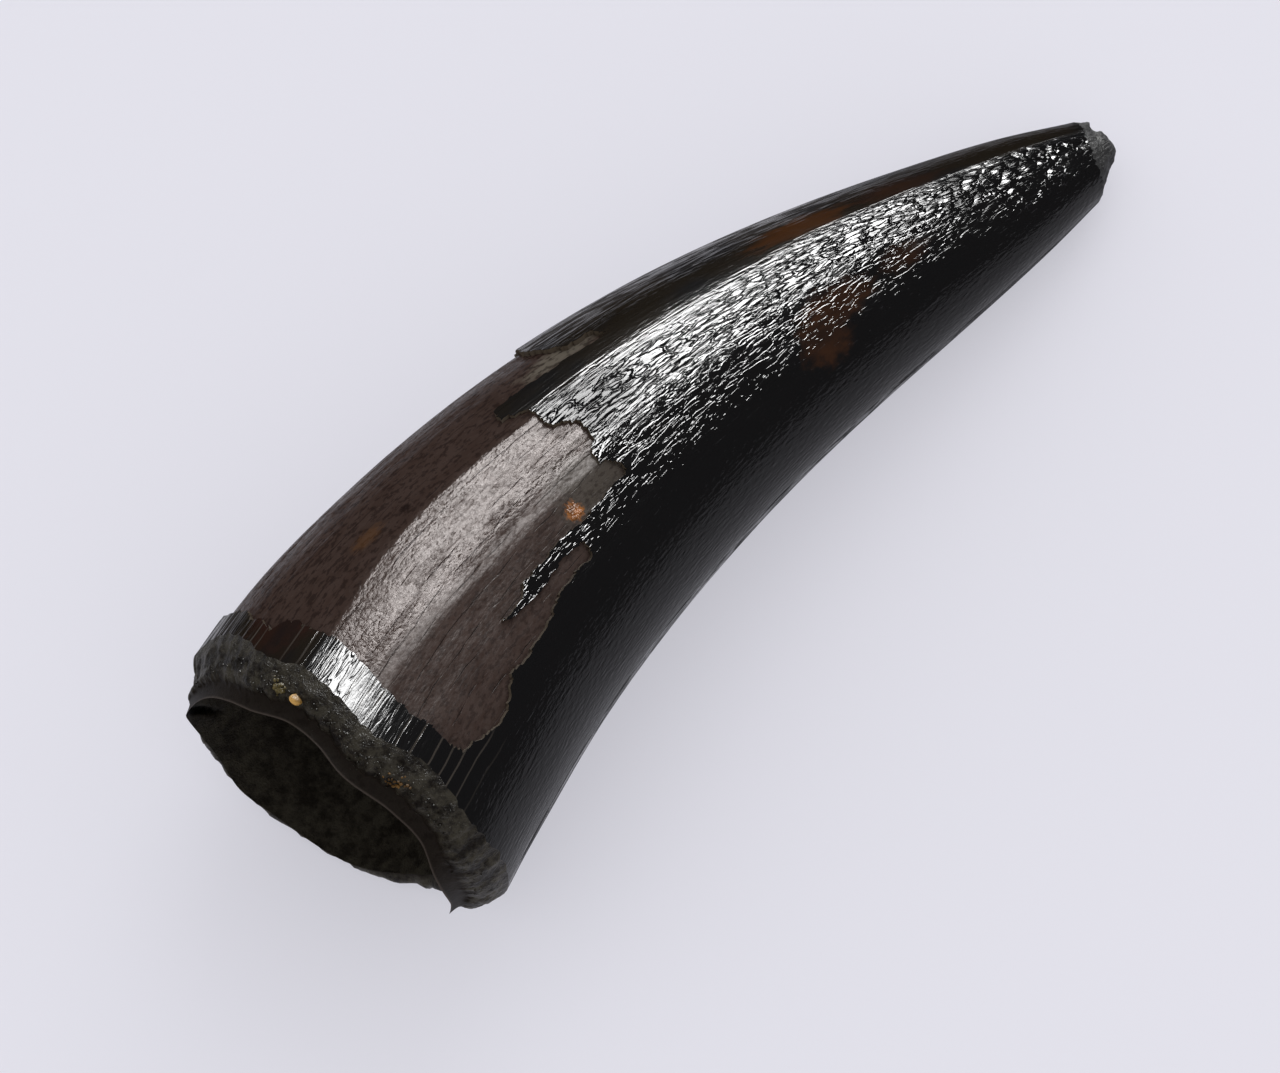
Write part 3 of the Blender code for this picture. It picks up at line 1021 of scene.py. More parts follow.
    def tint(self, graph: Graph, flow: Value) -> Value:
        """Near-black, olive past the crease, with stains that shine through."""
        cloud = self.tint_cloud.noise(graph, flow)
        olive = graph.attribute(PAST_CREASE).steps(*self.olive_past_crease)
        olive = olive * graph.degrees(flow).steps(*self.olive_side) * cloud.steps(*self.tint_cloud.span)
        color = graph.mix(olive, self.color, self.olive)
        cloudy = cloud.steps(*self.patch_span) * (1.0 - self.patch_floor) + self.patch_floor
        for patch in self.patches:
            color = graph.mix(patch.share(graph, flow, self.form) * cloudy, color, patch.color)
        return color


@dataclass(frozen=True)
class DentineFinish:
    """Satin brown dentine with fine grain and long cracks, darker and mottled before the crease."""

    form: ToothForm
    color: Color = (0.062, 0.043, 0.037)
    dark: Color = (0.032, 0.019, 0.015)
    mottle_color: Color = DARK_MOTTLE
    cloud: Cloud = Cloud(0.5, 1.3, detail=5.0, rough=0.65, span=(0.40, 0.60), amount=0.6)
    brown_before_crease: Span = (1.0, -3.0)
    brown_past_band: Span = (5.0, 12.0)
    brown_strength: float = 0.55
    mottle: Cloud = Cloud(0.13, 0.26, 6.0, 3.0, 0.6, span=(0.50, 0.60), amount=0.2)
    mottle_gain: float = 0.45
    stains: tuple[Patch, ...] = (
        Patch(9.7, 108.0, 1.6, 1.2, 0.7, (0.070, 0.062, 0.052)),
        Patch(12.4, 57.0, 1.5, 0.45, 0.9, (0.115, 0.100, 0.080)),
    )
    spots: tuple[Patch, ...] = (
        Patch(4.3, 64.0, 0.6, 0.3, 0.4, (0.10, 0.045, 0.015)),
        Patch(5.6, 67.0, 0.2, 0.16, 0.9, DARK_MOTTLE),
        Patch(8.63, 111.0, 0.3, 0.3, 1.0, (0.36, 0.13, 0.03)),
    )
    ior: float = 1.5
    specular: float = 0.062
    shine_color: tuple[float, float, float, float] = (1.0, 0.94, 0.92, 1.0)
    least_roughness: float = 0.06
    grain_roughness: float = 0.3
    past_ridge: Span = (0.0, 7.0)
    past_ridge_roughness: float = 0.22
    crack_lines: Lines = Lines(
        0.10, 0.034, Cloud(1.0, 2.2, detail=3.0, amount=0.9), 0.018, Cloud(0.4, 1.6, 8.0, span=(0.44, 0.58)),
    )
    crack_strength: float = 0.8
    grain: Cloud = Cloud(0.075, 0.12, detail=1.0, amount=0.015)
    flake: Cloud = Cloud(0.55, 1.7, 2.0, amount=0.050)
    fiber: Cloud = Cloud(0.12, 2.4, 5.0, detail=3.0, amount=0.012)
    rough_before_crease: float = 0.25
    at_crease: Span = (-3.0, 0.5)
    smoother_past_band: Span = (2.0, 8.0)
    smoother: float = 0.45
    streak: Cloud = Cloud(0.30, 2.2, 31.0, 3.0, 0.6, span=(0.42, 0.66), amount=0.42)
    speck: Cloud = Cloud(0.10, 0.17, 37.0, 2.0, 0.6, span=(0.42, 0.66), amount=0.42)
    least_dull: float = 0.02
    dull_side: Span = (62.0, 44.0)
    dull_side_strength: float = 0.3

    def build(self) -> bpy.types.Material:
        """Make the material."""
        material, graph = new_material("dentine")
        flow = graph.attribute(FLOW, "Vector")
        past_band = graph.attribute(PAST_BAND)
        cracks = self.crack_lines.share(graph, flow)
        grain = self.grain.noise(graph, flow)
        lit = graph.attribute(PAST_CREASE).steps(*self.at_crease)
        share = lit * (1.0 - self.rough_before_crease) + self.rough_before_crease
        share = share * (1.0 - past_band.steps(*self.smoother_past_band) * self.smoother)
        rough = grain * self.grain.amount + self.flake.noise(graph, flow) * self.flake.amount
        fibers = self.fiber.noise(graph, flow) * self.fiber.amount
        height = rough * share + fibers - cracks * lit * self.crack_lines.amount
        past_ridge = past_band.steps(*self.past_ridge) * self.past_ridge_roughness
        inputs = {
            "Base Color": self.tint(graph, flow, cracks),
            "Roughness": grain * self.grain_roughness + past_ridge + self.least_roughness,
            "IOR": self.ior, "Specular IOR Level": self.specular, "Specular Tint": self.shine_color,
            "Normal": graph.bump(height * MM),
        }
        streaks, specks = (cloud.share(graph, flow) * cloud.amount for cloud in (self.streak, self.speck))
        outer = graph.degrees(flow).steps(*self.dull_side) * self.dull_side_strength
        finish_material(graph, inputs, streaks + specks + self.least_dull + outer)
        return material

    def tint(self, graph: Graph, flow: Value, cracks: Value) -> Value:
        """Brown with clouds and fine dark mottling, and with stains and spots of their own colors."""
        before_crease = graph.attribute(PAST_CREASE).steps(*self.brown_before_crease)
        past_band = graph.attribute(PAST_BAND).steps(*self.brown_past_band)
        brown = graph.largest(before_crease, past_band * self.brown_strength)
        cloud = self.cloud.share(graph, flow) * self.cloud.amount
        color = graph.mix(brown * self.brown_strength, graph.mix(cloud, self.color, self.dark), self.dark)
        for stain in self.stains:
            color = graph.mix(stain.share(graph, flow, self.form), color, stain.color)
        mottle = self.mottle.share(graph, flow) * (brown * self.mottle_gain + self.mottle.amount)
        color = graph.mix(mottle, color, self.mottle_color)
        color = graph.mix(cracks * self.crack_strength, color, self.mottle_color)
        for spot in self.spots:
            color = graph.mix(spot.share(graph, flow, self.form), color, spot.color)
        return color


@dataclass(frozen=True)
class FractureFinish:
    """Matte broken dentine, greenish dark grey, with fine grain, a painted highlight along the lip and
    painted shade in the crevice.

    The spans are shares of the way in from the enamel's edge to the lip.
    """

    name: str = "fracture"
    color: Color = (0.044, 0.038, 0.027)
    stain: Color = (0.010, 0.007, 0.005)
    brown: Color = (0.0115, 0.008, 0.0065)
    lip_highlight_color: Color = (0.060, 0.047, 0.040)
    crevice_shade_color: Color = (0.001, 0.001, 0.001)
    roughness: float = 0.42
    specular: float = 0.2
    cloud_size: float = 1.0 / 2.2
    cloud_detail: float = 6.0
    cloud_roughness: float = 0.75
    stain_span: Span = (0.38, 0.62)
    brown_span: Span = (0.55, 0.8)
    brown_cloud: Span = (0.62, 0.40)
    brown_floor: float = 0.5
    brown_gain: float = 0.45
    lip_highlight_span: Span = (0.975, 0.998)
    lip_highlight_strength: float = 0.8
    grain: float = 0.07
    grain_detail: float = 3.0
    grain_roughness: float = 0.6
    grain_depth: float = 0.045
    smooth_span: Span = (0.6, 0.8)
    smoothing: float = 0.6
    dull_span: Span = (0.5, 0.8)
    dullness: float = 0.55

    def build(self) -> bpy.types.Material:
        """Make the material."""
        material, graph = new_material(self.name)
        where = graph.node("ShaderNodeTexCoord", {}, {}).out("Object") * (1.0 / MM)
        cloud = graph.noise(where * (1.0 / self.cloud_size), self.cloud_detail, self.cloud_roughness)
        grain = graph.noise(where * (1.0 / self.grain), self.grain_detail, self.grain_roughness)
        inward = graph.attribute(INWARD)
        rough = 1.0 - inward.steps(*self.smooth_span) * self.smoothing
        brown = cloud.steps(*self.brown_cloud) * self.brown_gain + self.brown_floor
        color = graph.mix(cloud.steps(*self.stain_span), self.color, self.stain)
        color = graph.mix(inward.steps(*self.brown_span) * brown, color, self.brown)
        # A pale line painted along the lip is a painted highlight, for the light its sharp edge catches.
        color = graph.mix(inward.steps(*self.lip_highlight_span) * self.lip_highlight_strength, color, self.lip_highlight_color)
        inputs = {
            # The near-black in the crevice is painted shade, where the shadow under the lip falls.
            "Base Color": graph.mix(graph.attribute(CREVICE_SHADE), color, self.crevice_shade_color),
            "Roughness": self.roughness, "Specular IOR Level": self.specular,
            "Normal": graph.bump(grain * rough * (self.grain_depth * MM)),
        }
        finish_material(graph, inputs, inward.steps(*self.dull_span) * self.dullness)
        return material


@dataclass(frozen=True)
class FloorFinish:
    """Plain pale matte floor that glows, as soft white cloth does when light passes through it."""

    color: Color = (0.37, 0.3675, 0.402)
    glow: Color = (0.415, 0.4115, 0.450)
    roughness: float = 0.9

    def build(self) -> bpy.types.Material:
        """Make the material."""
        material, graph = new_material("floor")
        finish_material(graph, {
            "Base Color": self.color, "Roughness": self.roughness, "Specular IOR Level": 0.0,
            "Emission Color": self.glow, "Emission Strength": 1.0,
        })
        return material


# ---------------------------------------------------------------------------
# Pieces of the tooth
# ---------------------------------------------------------------------------

WINDOW = BrokenOutline(
    corners=(
        (1.9, -25), (1.6, 0), (1.5, 20), (1.48, 41), (1.18, 46), (1.25, 51), (0.93, 58), (1.27, 60),
        (1.40, 65), (1.28, 71), (1.30, 80), (1.17, 85), (0.97, 92), (0.65, 100), (0.60, 105), (0.44, 109),
        (0.60, 117), (0.40, 123), (0.50, 130), (0.92, 130), (1.38, 133), (1.99, 135), (2.65, 134),
        (3.04, 131), (3.33, 129), (4.11, 130), (4.86, 129), (5.54, 129), (6.17, 126), (7.25, 125), (7.8, 126),
        (8.1, 125), (8.12, 120), (7.2, 119), (6.1, 120), (4.9, 119), (4.34, 117), (4.8, 117), (5.4, 117),
        (5.8, 114), (6.8, 115), (7.2, 114), (8.8, 115), (10.05, 114), (10.6, 114), (10.8, 112),
        (10.7, 108), (10.25, 105), (10.37, 99), (10.7, 98), (10.8, 88), (10.3, 84), (10.15, 82),
        (10.2, 73), (9.85, 71), (9.5, 68), (9.5, 64), (9.65, 62.5), (10.3, 62), (11.3, 63.5), (12.9, 64),
        (13.5, 65), (13.7, 64), (13.55, 57), (12.7, 57), (12.3, 50), (12.1, 40), (12.3, 30),
        (12.75, 15), (12.9, 0), (11.8, -14), (9.2, -22), (5.0, -30),
    ),
)


class EnamelRelief(Relief):
    """Low waves and long ridges in the enamel, with rounder lumps towards the tip."""

    sizes = {
        "Wave height": 0.028, "Wave width": 0.42, "Wave length": 1.5,
        "Ridge height": 0.010, "Ridge width": 0.55, "Ridge length": 7.0,
        "Lump height": 0.045, "Lump width": 0.55, "Lump length": 0.95,
    }
    lumps_along: Span = (18.0, 27.0)

    def rule(self, graph: Graph, flow: Value, size: dict[str, Value]) -> Value:
        """Sum of the waves, ridges and lumps."""
        wrinkled = carried_value(graph, WRINKLED, "FLOAT")
        waves, ridges, lumps = (self.pattern(graph, flow, size, name) for name in ("Wave", "Ridge", "Lump"))
        toward_tip = flow.part("Z").steps(*self.lumps_along)
        return wrinkled * (waves + lumps * toward_tip) + ridges


@dataclass
class EnamelShell:
    """The enamel over the crown, broken away in the window, at the base and at the tip."""

    form: ToothForm
    window: BrokenOutline
    rows: int = 300
    columns: int = 380
    wall_drops: tuple[float, ...] = (0.02, 0.1, 0.23)
    seen_from: float = -20.0
    seen_to: float = 215.0
    seen_fade: float = 15.0
    unseen_density: float = 0.38
    snap: float = 0.45
    snap_reach: float = 2.0
    end_rows: float = 3.0
    least_wrinkled: float = 0.04
    wrinkled_past_crease: Span = (-4.0, 1.0)
    wrinkled_until: Span = (138.0, 116.0)
    strip_from: Span = (35.0, 45.0)
    strip_to: Span = (142.0, 132.0)
    strip_along: Span = (1.9, 1.5)
    strip_smoothness: float = 0.75

    def column_angles(self) -> np.ndarray:
        """Angles of the columns, closer together where the tooth lies upwards."""
        fine = np.linspace(-HALF_TURN, HALF_TURN, FINE_ANGLES + 1)
        middle = 0.5 * (self.seen_from + self.seen_to)
        half = 0.5 * (self.seen_to - self.seen_from)
        hidden = ramp(turn_between(fine[:-1], middle), half, half + self.seen_fade)
        density = 1.0 - (1.0 - self.unseen_density) * hidden
        total = np.concatenate([[0.0], np.cumsum(density)])
        return np.interp(np.arange(self.columns) * total[-1] / self.columns, total, fine)

    def to_grid(self, places: np.ndarray, angles: np.ndarray) -> np.ndarray:
        """Places on the tooth counted in rows and columns of the grid."""
        column = np.interp(places[:, 1], np.append(angles, HALF_TURN), np.arange(self.columns + 1))
        start = self.form.base_edge(places[:, 1])
        row = (places[:, 0] - start) / (self.form.tip(places[:, 1]) - start) * (self.rows - 1)
        return np.stack([row, column], axis=-1)

    def from_grid(self, cells: np.ndarray, angles: np.ndarray) -> np.ndarray:
        """Places on the tooth of rows and columns of the grid."""
        angle = np.interp(cells[:, 1], np.arange(self.columns + 1), np.append(angles, HALF_TURN))
        start = self.form.base_edge(angle)
        along = start + (self.form.tip(angle) - start) * cells[:, 0] / (self.rows - 1)
        return np.stack([along, angle], axis=-1)

    def skin(self) -> Skin:
        """The shell's surface, with walls where it has broken off round the window."""
        angles = self.column_angles()
        row, column = np.meshgrid(np.arange(self.rows), np.arange(self.columns), indexing="ij")
        cells = np.stack([row, column], axis=-1).reshape(-1, 2).astype(float)
        outline = self.to_grid(self.window.fine(self.form), angles)
        low, high = outline.min(axis=0) - self.snap_reach, outline.max(axis=0) + self.snap_reach
        near = np.flatnonzero(((cells > low) & (cells < high)).all(axis=1))
        foot, gap = nearest_on(outline, cells[near])
        inner = (cells[near, 0] > 0) & (cells[near, 0] < self.rows - 1)
        moved = (gap < self.snap) & inner
        cells[near[moved]] = foot[moved]
        places = self.from_grid(cells, angles)
        faces = grid_faces(self.rows, self.columns, True)
        corners = cells[faces]
        crosses = faces[:, 1] < faces[:, 0]
        corners[crosses, 1:3, 1] += self.columns
        kept = faces[~inside(outline, corners.mean(axis=1))]
        along, angle = places[:, 0], places[:, 1]
        points = self.form.place(along, angle, self.form.surface(along, angle))
        from_end = np.minimum(cells[:, 0], self.rows - 1 - cells[:, 0])
        strip = self.strip(along, angle)
        values = {
            **self.form.carried(along, angle, ramp(from_end, 0.0, self.end_rows)),
            CHIP: np.zeros(len(points)),
            WRINKLED: self.wrinkled(along, angle) * (1.0 - self.strip_smoothness * strip),
            STRIP: strip,
        }
        return self.add_walls(Skin(points, kept, values), places)

    def wrinkled(self, along: np.ndarray, angle: np.ndarray) -> np.ndarray:
        """How wrinkled the enamel is, from 0 to 1."""
        turn = signed(angle)
        start = ramp(turn - curve_through(self.form.crease, along), *self.wrinkled_past_crease)
        end = ramp(turn, *self.wrinkled_until)
        return self.least_wrinkled + (1.0 - self.least_wrinkled) * start * end

    def strip(self, along: np.ndarray, angle: np.ndarray) -> np.ndarray:
        """1 on the strip of cracked enamel between the window and the base."""
        around = ramp(signed(angle), *self.strip_from) * ramp(signed(angle), *self.strip_to)
        return around * ramp(along, *self.strip_along)

    def add_walls(self, skin: Skin, places: np.ndarray) -> Skin:
        """Turn the shell's edges down round the window.

        Args:
            skin: the shell's outer surface.
            places: the (along, angle) of each of its points.

        Returns:
            The shell with its walls.
        """
        edges = open_edges(skin.faces)
        last = (self.rows - 1) * self.columns
        edges = edges[(edges >= self.columns).all(axis=1) & (edges < last).all(axis=1)]
        rim, ends = np.unique(edges, return_inverse=True)
        ends = ends.reshape(edges.shape)
        along, angle = places[rim, 0], places[rim, 1]
        reach = self.form.surface(along, angle)
        rings = [rim]
        points, faces = [skin.points], [skin.faces]
        values = {label: [value] for label, value in skin.values.items()}
        count = len(skin.points)
        for drop in self.wall_drops:
            points.append(self.form.place(along, angle, reach - drop))
            for label, value in skin.values.items():
                values[label].append(np.ones(len(rim)) if label == CHIP else value[rim])
            rings.append(np.arange(count, count + len(rim)))
            count += len(rim)
        for upper, lower in zip(rings, rings[1:]):
            corners = [upper[ends[:, 1]], upper[ends[:, 0]], lower[ends[:, 0]], lower[ends[:, 1]]]
            faces.append(np.stack(corners, axis=-1))
        joined = {label: np.concatenate(parts) for label, parts in values.items()}
        return Skin(np.concatenate(points), np.concatenate(faces), joined).compact()

    def build(self) -> bpy.types.Object:
        """Make the shell."""
        material = EnamelFinish(self.form).build()
        return EnamelRelief().apply(self.skin().object("enamel", material), material)


class DentineRelief(Relief):
    """Long flat ridges and fine pits in the dentine."""

    sizes = {
        "Ridge height": 0.05, "Ridge width": 0.9, "Ridge length": 9.0,
        "Pit height": 0.012, "Pit width": 0.16, "Pit length": 0.35,
    }

    def rule(self, graph: Graph, flow: Value, size: dict[str, Value]) -> Value:
        """Sum of the ridges and pits."""
        return self.pattern(graph, flow, size, "Ridge") + self.pattern(graph, flow, size, "Pit")


@dataclass
class DentineBed:
    """The dentine that shows in the window, and runs a little way under the enamel's edge."""

    form: ToothForm
    window: BrokenOutline
    depths: Knots = (
        (-30.0, 0.17), (50.0, 0.16), (68.0, 0.14), (72.5, 0.085), (77.0, 0.105), (88.0, 0.13), (96.0, 0.12),
        (100.5, 0.075), (104.5, 0.135), (110.0, 0.16), (120.0, 0.14), (140.0, 0.12),
    )
    ridge: Knots = ((1.4, 99.7), (3.2, 101.0), (6.6, 104.0), (8.5, 104.3), (10.2, 105.3))
    ridge_in_depths: float = 100.5
    ridge_side: Span = (85.0, 100.0)
    cell: float = 0.06
    margin: float = 0.3

    def points(self, along: np.ndarray, angle: np.ndarray) -> np.ndarray:
        """Points on the dentine, whose ridge wanders from its angle in the depths."""
        beside = ramp(angle, *self.ridge_side)
        moved = angle - (curve_through(self.ridge, along) - self.ridge_in_depths) * beside
        reach = self.form.surface(along, angle) - curve_through(self.depths, moved)
        return self.form.place(along, angle, reach)

    def build(self) -> bpy.types.Object:
        """Make the bed."""
        outline = self.window.fine(self.form)
        low, high = outline.min(axis=0), outline.max(axis=0)
        per_degree, beyond = self.window.per_degree, self.margin / self.window.per_degree
        rows = round((high[0] - low[0] + 2 * self.margin) / self.cell)
        columns = round((high[1] - low[1]) * per_degree / self.cell)
        along = np.linspace(low[0] - self.margin, high[0] + self.margin, rows)
        angle = np.linspace(low[1] - beyond, high[1] + beyond, columns)
        grid_along, grid_angle = (axis.ravel() for axis in np.meshgrid(along, angle, indexing="ij"))
        places = np.stack([grid_along, grid_angle * per_degree], axis=-1)
        edge = outline * (1.0, per_degree)
        faces = grid_faces(rows, columns, False)
        middles = places[faces].mean(axis=1)
        kept = inside(edge, middles) | (nearest_on(edge, middles)[1] < self.margin)
        points = self.points(grid_along, grid_angle)
        values = self.form.carried(grid_along, grid_angle, np.ones(1))
        material = DentineFinish(self.form).build()
        bed = Skin(points, faces[kept], values).compact().object("dentine", material)
        return DentineRelief().apply(bed, material)


class FractureRelief(Relief):
    """Lumps and grain of a broken surface."""

    def __init__(self, lump: float, grain: float) -> None:
        """Take the heights of the lumps and of the grain."""
        self.sizes = {
            "Lump height": lump, "Lump width": 0.5, "Lump length": 0.5,
            "Grain height": grain, "Grain width": 0.17, "Grain length": 0.17,
        }

    def rule(self, graph: Graph, flow: Value, size: dict[str, Value]) -> Value:
        """Sum of the lumps and grain."""
        return self.pattern(graph, flow, size, "Lump") + self.pattern(graph, flow, size, "Grain")


@dataclass
class BrokenBase:
    """The rounded fracture round the base, from the enamel's edge in to a groove and a sharp lip."""

    form: ToothForm
    angles: np.ndarray
    rows: int = 36
    hollow_angle: float = 6.0
    hollow_spread: float = 15.0
    hollow_share: float = 0.30
    hollow_width: float = 0.16
    hollow_depth: float = 0.58
    profile: Knots = (
        (0.0, 0.0), (0.15, -0.12), (0.45, -0.16), (0.68, 0.02), (0.84, 0.16), (0.95, 0.08), (1.0, 0.0),
    )
    edge_gap: float = 0.08
    relief_fade: float = 1.0 / 6.0
    facing_out: float = 0.7
    facing_in: float = 0.5
    lump_height: float = 0.30
    grain_height: float = 0.14

    def points(self, share: np.ndarray, angle: np.ndarray) -> tuple[np.ndarray, np.ndarray]:
        """Places on the fracture.

        Args:
            share: 0 at the enamel's edge, 1 at the lip.
            angle: angle round the tooth in degrees.

        Returns:
            How far along the tooth the places lie, and their points.
        """
        outer, inner = self.form.base_edge(angle), self.form.lip(angle)
        wall = curve_round(self.form.walls, angle)
        along = outer + (inner - outer) * share + curve_through(self.profile, share)
        at_end = np.exp(-(((signed(angle) - self.hollow_angle) / self.hollow_spread) ** 2))
        halfway = np.exp(-(((share - self.hollow_share) / self.hollow_width) ** 2))
        crown = self.form.radius(along) + self.form.keels(along, angle) * (1.0 - share)
        reach = crown - wall * share - at_end * halfway * self.hollow_depth
        return along, self.form.place(along, angle, reach)

    def at(self, share: np.ndarray, angle: np.ndarray) -> np.ndarray:
        """Points on the fracture, kept off its two edges."""
        return self.points(np.clip(share, self.edge_gap, 1.0 - self.edge_gap), angle)[1]

    def build(self) -> bpy.types.Object:
        """Make the fracture."""
        share = np.linspace(0.0, 1.0, self.rows)[:, None]
        angle = np.broadcast_to(self.angles, (self.rows, len(self.angles)))
        along, points = self.points(share, angle)
        faces = grid_faces(self.rows, len(self.angles), True)[:, ::-1]
        relief = ramp(np.minimum(share, 1.0 - share), 0.0, self.relief_fade)
        material = FractureFinish().build()
        values = self.form.carried(along, angle, relief)
        facing = self.facing_out - (self.facing_out + self.facing_in) * share
        away = self.form.across(along, angle) * facing[..., None] - self.form.forward(along)
        values[OUTWARD] = unit_rows(away)
        values[INWARD] = (share + 0.0 * angle).ravel()
        piece = Skin(points.reshape(-1, 3), faces, values).object("broken_base", material)
        return FractureRelief(self.lump_height, self.grain_height).apply(piece, material)


@dataclass
class PulpCavity:
    """The hollow inside the base, which narrows to a point, with a crevice under its lip whose darkness is
    painted shade.
    """

    form: ToothForm
    angles: np.ndarray
    rows: int = 70
    end: float = 16.0
    nearly_whole: float = 0.995
    fullness: float = 1.25
    relief_fade: float = 1.0 / 12.0
    lump_height: float = 0.10
    grain_height: float = 0.03
    color: Color = (0.034, 0.029, 0.020)
    stain: Color = (0.012, 0.009, 0.006)
    roughness: float = 0.45
    crevice_angles: Span = (-17.0, 6.0)
    crevice_stop: Span = (16.0, 12.0)
    crevice_most: float = 1.25
    crevice_inside: float = 0.92
    crevice_rise: float = 0.72
    crevice_half_width: float = 0.19
    crevice_least_width: float = 0.07
    crevice_fade: float = 1.0 / 3.0
    crevice_depth: float = 0.3
    crevice_lip: Span = (0.16, 0.96)

    def crevice(self, inside: np.ndarray, angle: np.ndarray) -> np.ndarray:
        """How deep in the crevice a place is, from 0 to 1.

        Args:
            inside: distance along the tooth from the lip.
            angle: angle round the tooth in degrees.

        Returns:
            1 in its middle; it narrows to nothing at its far end.
        """
        turn = signed(angle)
        start, end = self.crevice_angles
        share = np.clip((turn - start) / (end - start), 0.0, self.crevice_most)
        share = share * ramp(turn, *self.crevice_stop)
        half_width = self.crevice_half_width * share + self.crevice_least_width
        middle = self.crevice_inside - self.crevice_rise * share
        across = ramp(np.abs(inside - middle) / half_width, 1.0, 0.5)
        return across * ramp(share, 0.0, self.crevice_fade)

    def build(self) -> bpy.types.Object:
        """Make the cavity's wall."""
        share = (np.linspace(0.0, 1.0, self.rows)[:, None] ** 2) * self.nearly_whole
        angle = np.broadcast_to(self.angles, (self.rows, len(self.angles)))
        lip = self.form.lip(self.angles)
        mouth = self.form.radius(lip) - curve_round(self.form.walls, self.angles)
        along = lip + (self.end - lip) * share
        crevice = self.crevice(along - lip, angle)
        deeper = self.crevice_depth * crevice * ramp(along - lip, *self.crevice_lip)
        reach = mouth * (1.0 - share**self.fullness) + deeper
        points = self.form.place(along, angle, reach).reshape(-1, 3)
        faces = grid_faces(self.rows, len(self.angles), True)[:, ::-1]
        values = self.form.carried(along, angle, ramp(share, 0.0, self.relief_fade) * (1.0 - share))
        # The crevice is carved a little way in, and this share paints it black as painted shade.
        values[CREVICE_SHADE] = crevice.ravel()
        material = FractureFinish("cavity", self.color, self.stain, roughness=self.roughness).build()
        piece = Skin(points, faces, values).object("pulp_cavity", material)
        return FractureRelief(self.lump_height, self.grain_height).apply(piece, material)


@dataclass
class BrokenTip:
    """The blunt fracture at the tip, with flat facets."""

    form: ToothForm
    angles: np.ndarray
    rows: int = 24
    facet_rows: int = 4
    facet_columns: int = 11
    facet_height: float = 0.22
    seed: int = 21
    rise: float = 1.05
    nearly_whole: float = 0.995
    lean: float = 0.3
    lean_angle: float = 70.0
    relief_start: Span = (0.0, 0.2)
    relief_end: Span = (1.0, 2.0 / 3.0)
    least_relief: float = 0.1
    lump_height: float = 0.26
    grain_height: float = 0.10
    color: Color = (0.017, 0.0165, 0.0165)
    stain: Color = (0.008, 0.008, 0.008)
    roughness: float = 0.5
    specular: float = 0.14

    def build(self) -> bpy.types.Object:
        """Make the fracture."""
        share = np.linspace(0.0, self.nearly_whole, self.rows)[:, None]
        angle = np.broadcast_to(self.angles, (self.rows, len(self.angles)))
        edge = self.form.tip(self.angles)
        along = edge + (self.form.length + self.rise - edge) * np.sin(0.5 * math.pi * share)
        along = along + self.facets(share, angle)
        reach = self.form.radius(edge) * (1.0 - share) + 0.0 * along
        end = np.array([self.form.length])
        side = self.form.place(end, np.array([self.lean_angle]), np.array([self.lean]))
        lean = side - self.form.place(end, np.array([0.0]), np.array([0.0]))
        points = self.form.place(along, angle, reach) + lean * share[..., None]
        faces = grid_faces(self.rows, len(self.angles), True)
        gloss = {"roughness": self.roughness, "specular": self.specular}
        material = FractureFinish("tip_fracture", self.color, self.stain, **gloss).build()
        relief = np.maximum(ramp(share, *self.relief_end), self.least_relief)
        values = self.form.carried(along, angle, ramp(share, *self.relief_start) * relief)
        values[FLOW] = points.reshape(-1, 3)
        sideways = self.form.across(along, angle) * (1.0 - share)[..., None]
        values[OUTWARD] = unit_rows(self.form.forward(along) * share[..., None] + sideways)
        piece = Skin(points.reshape(-1, 3), faces, values).object("broken_tip", material)
        return FractureRelief(self.lump_height, self.grain_height).apply(piece, material)

    def facets(self, share: np.ndarray, angle: np.ndarray) -> np.ndarray:
        """Random heights at the facets' corners, read in straight lines between them.

        Args:
            share: 0 at the enamel's edge, 1 at the middle.
            angle: angle round the tooth in degrees.

        Returns:
            Height of the facets along the tooth.
        """
        draw = np.random.default_rng(self.seed)
        corners = draw.uniform(-1.0, 1.0, (self.facet_rows + 1, self.facet_columns))
        corners[0], corners[-1] = 0.0, corners[-1, 0]
        row = share * self.facet_rows
        column = np.mod(angle, FULL_TURN) / FULL_TURN * self.facet_columns
        low, left = row.astype(int), column.astype(int) % self.facet_columns
        right = (left + 1) % self.facet_columns
        down, over = row - low, column - np.floor(column)
        near = corners[low, left] * (1 - over) + corners[low, right] * over
        far = corners[low + 1, left] * (1 - over) + corners[low + 1, right] * over
        return self.facet_height * (near * (1 - down) + far * down)


@dataclass
class Grains:
    """Mineral grains stuck to the tooth in a patch, or along a stretch of its base."""

    name: str
    color: Color
    points: Callable[[np.ndarray, np.ndarray], np.ndarray]
    middle: Span
    spread: Span
    count: int
    half: Span
    seed: int
    slender: float = 0.65
    scatter: float = 0.5
    stain_share: float = 0.45

    def build(self) -> bpy.types.Object:
        """Make the grains."""
        draw = np.random.default_rng(self.seed)
        one = self.count == 1
        offset = np.zeros((1, 2)) if one else draw.normal(0.0, self.scatter, (self.count, 2))
        along, angle = (np.array(self.middle) + offset * self.spread).T
        half = draw.uniform(*self.half, (self.count, 1)) * draw.uniform(self.slender, 1.0, (self.count, 3))
        values = {HALF_SIZE: half, TURN: draw.uniform(0.0, math.pi, (self.count, 3))}
        stain = tuple(self.stain_share * part for part in self.color)
        material = FractureFinish(self.name, self.color, stain).build()
        no_faces = np.empty((0, 4), int)
        piece = Skin(self.points(along, angle), no_faces, values).object(self.name, material)
        tree = GrainScatter().tree(self.name + "_scatter")
        return into_plain_mesh(piece, tree, {**GrainScatter.sizes, "Material": material})


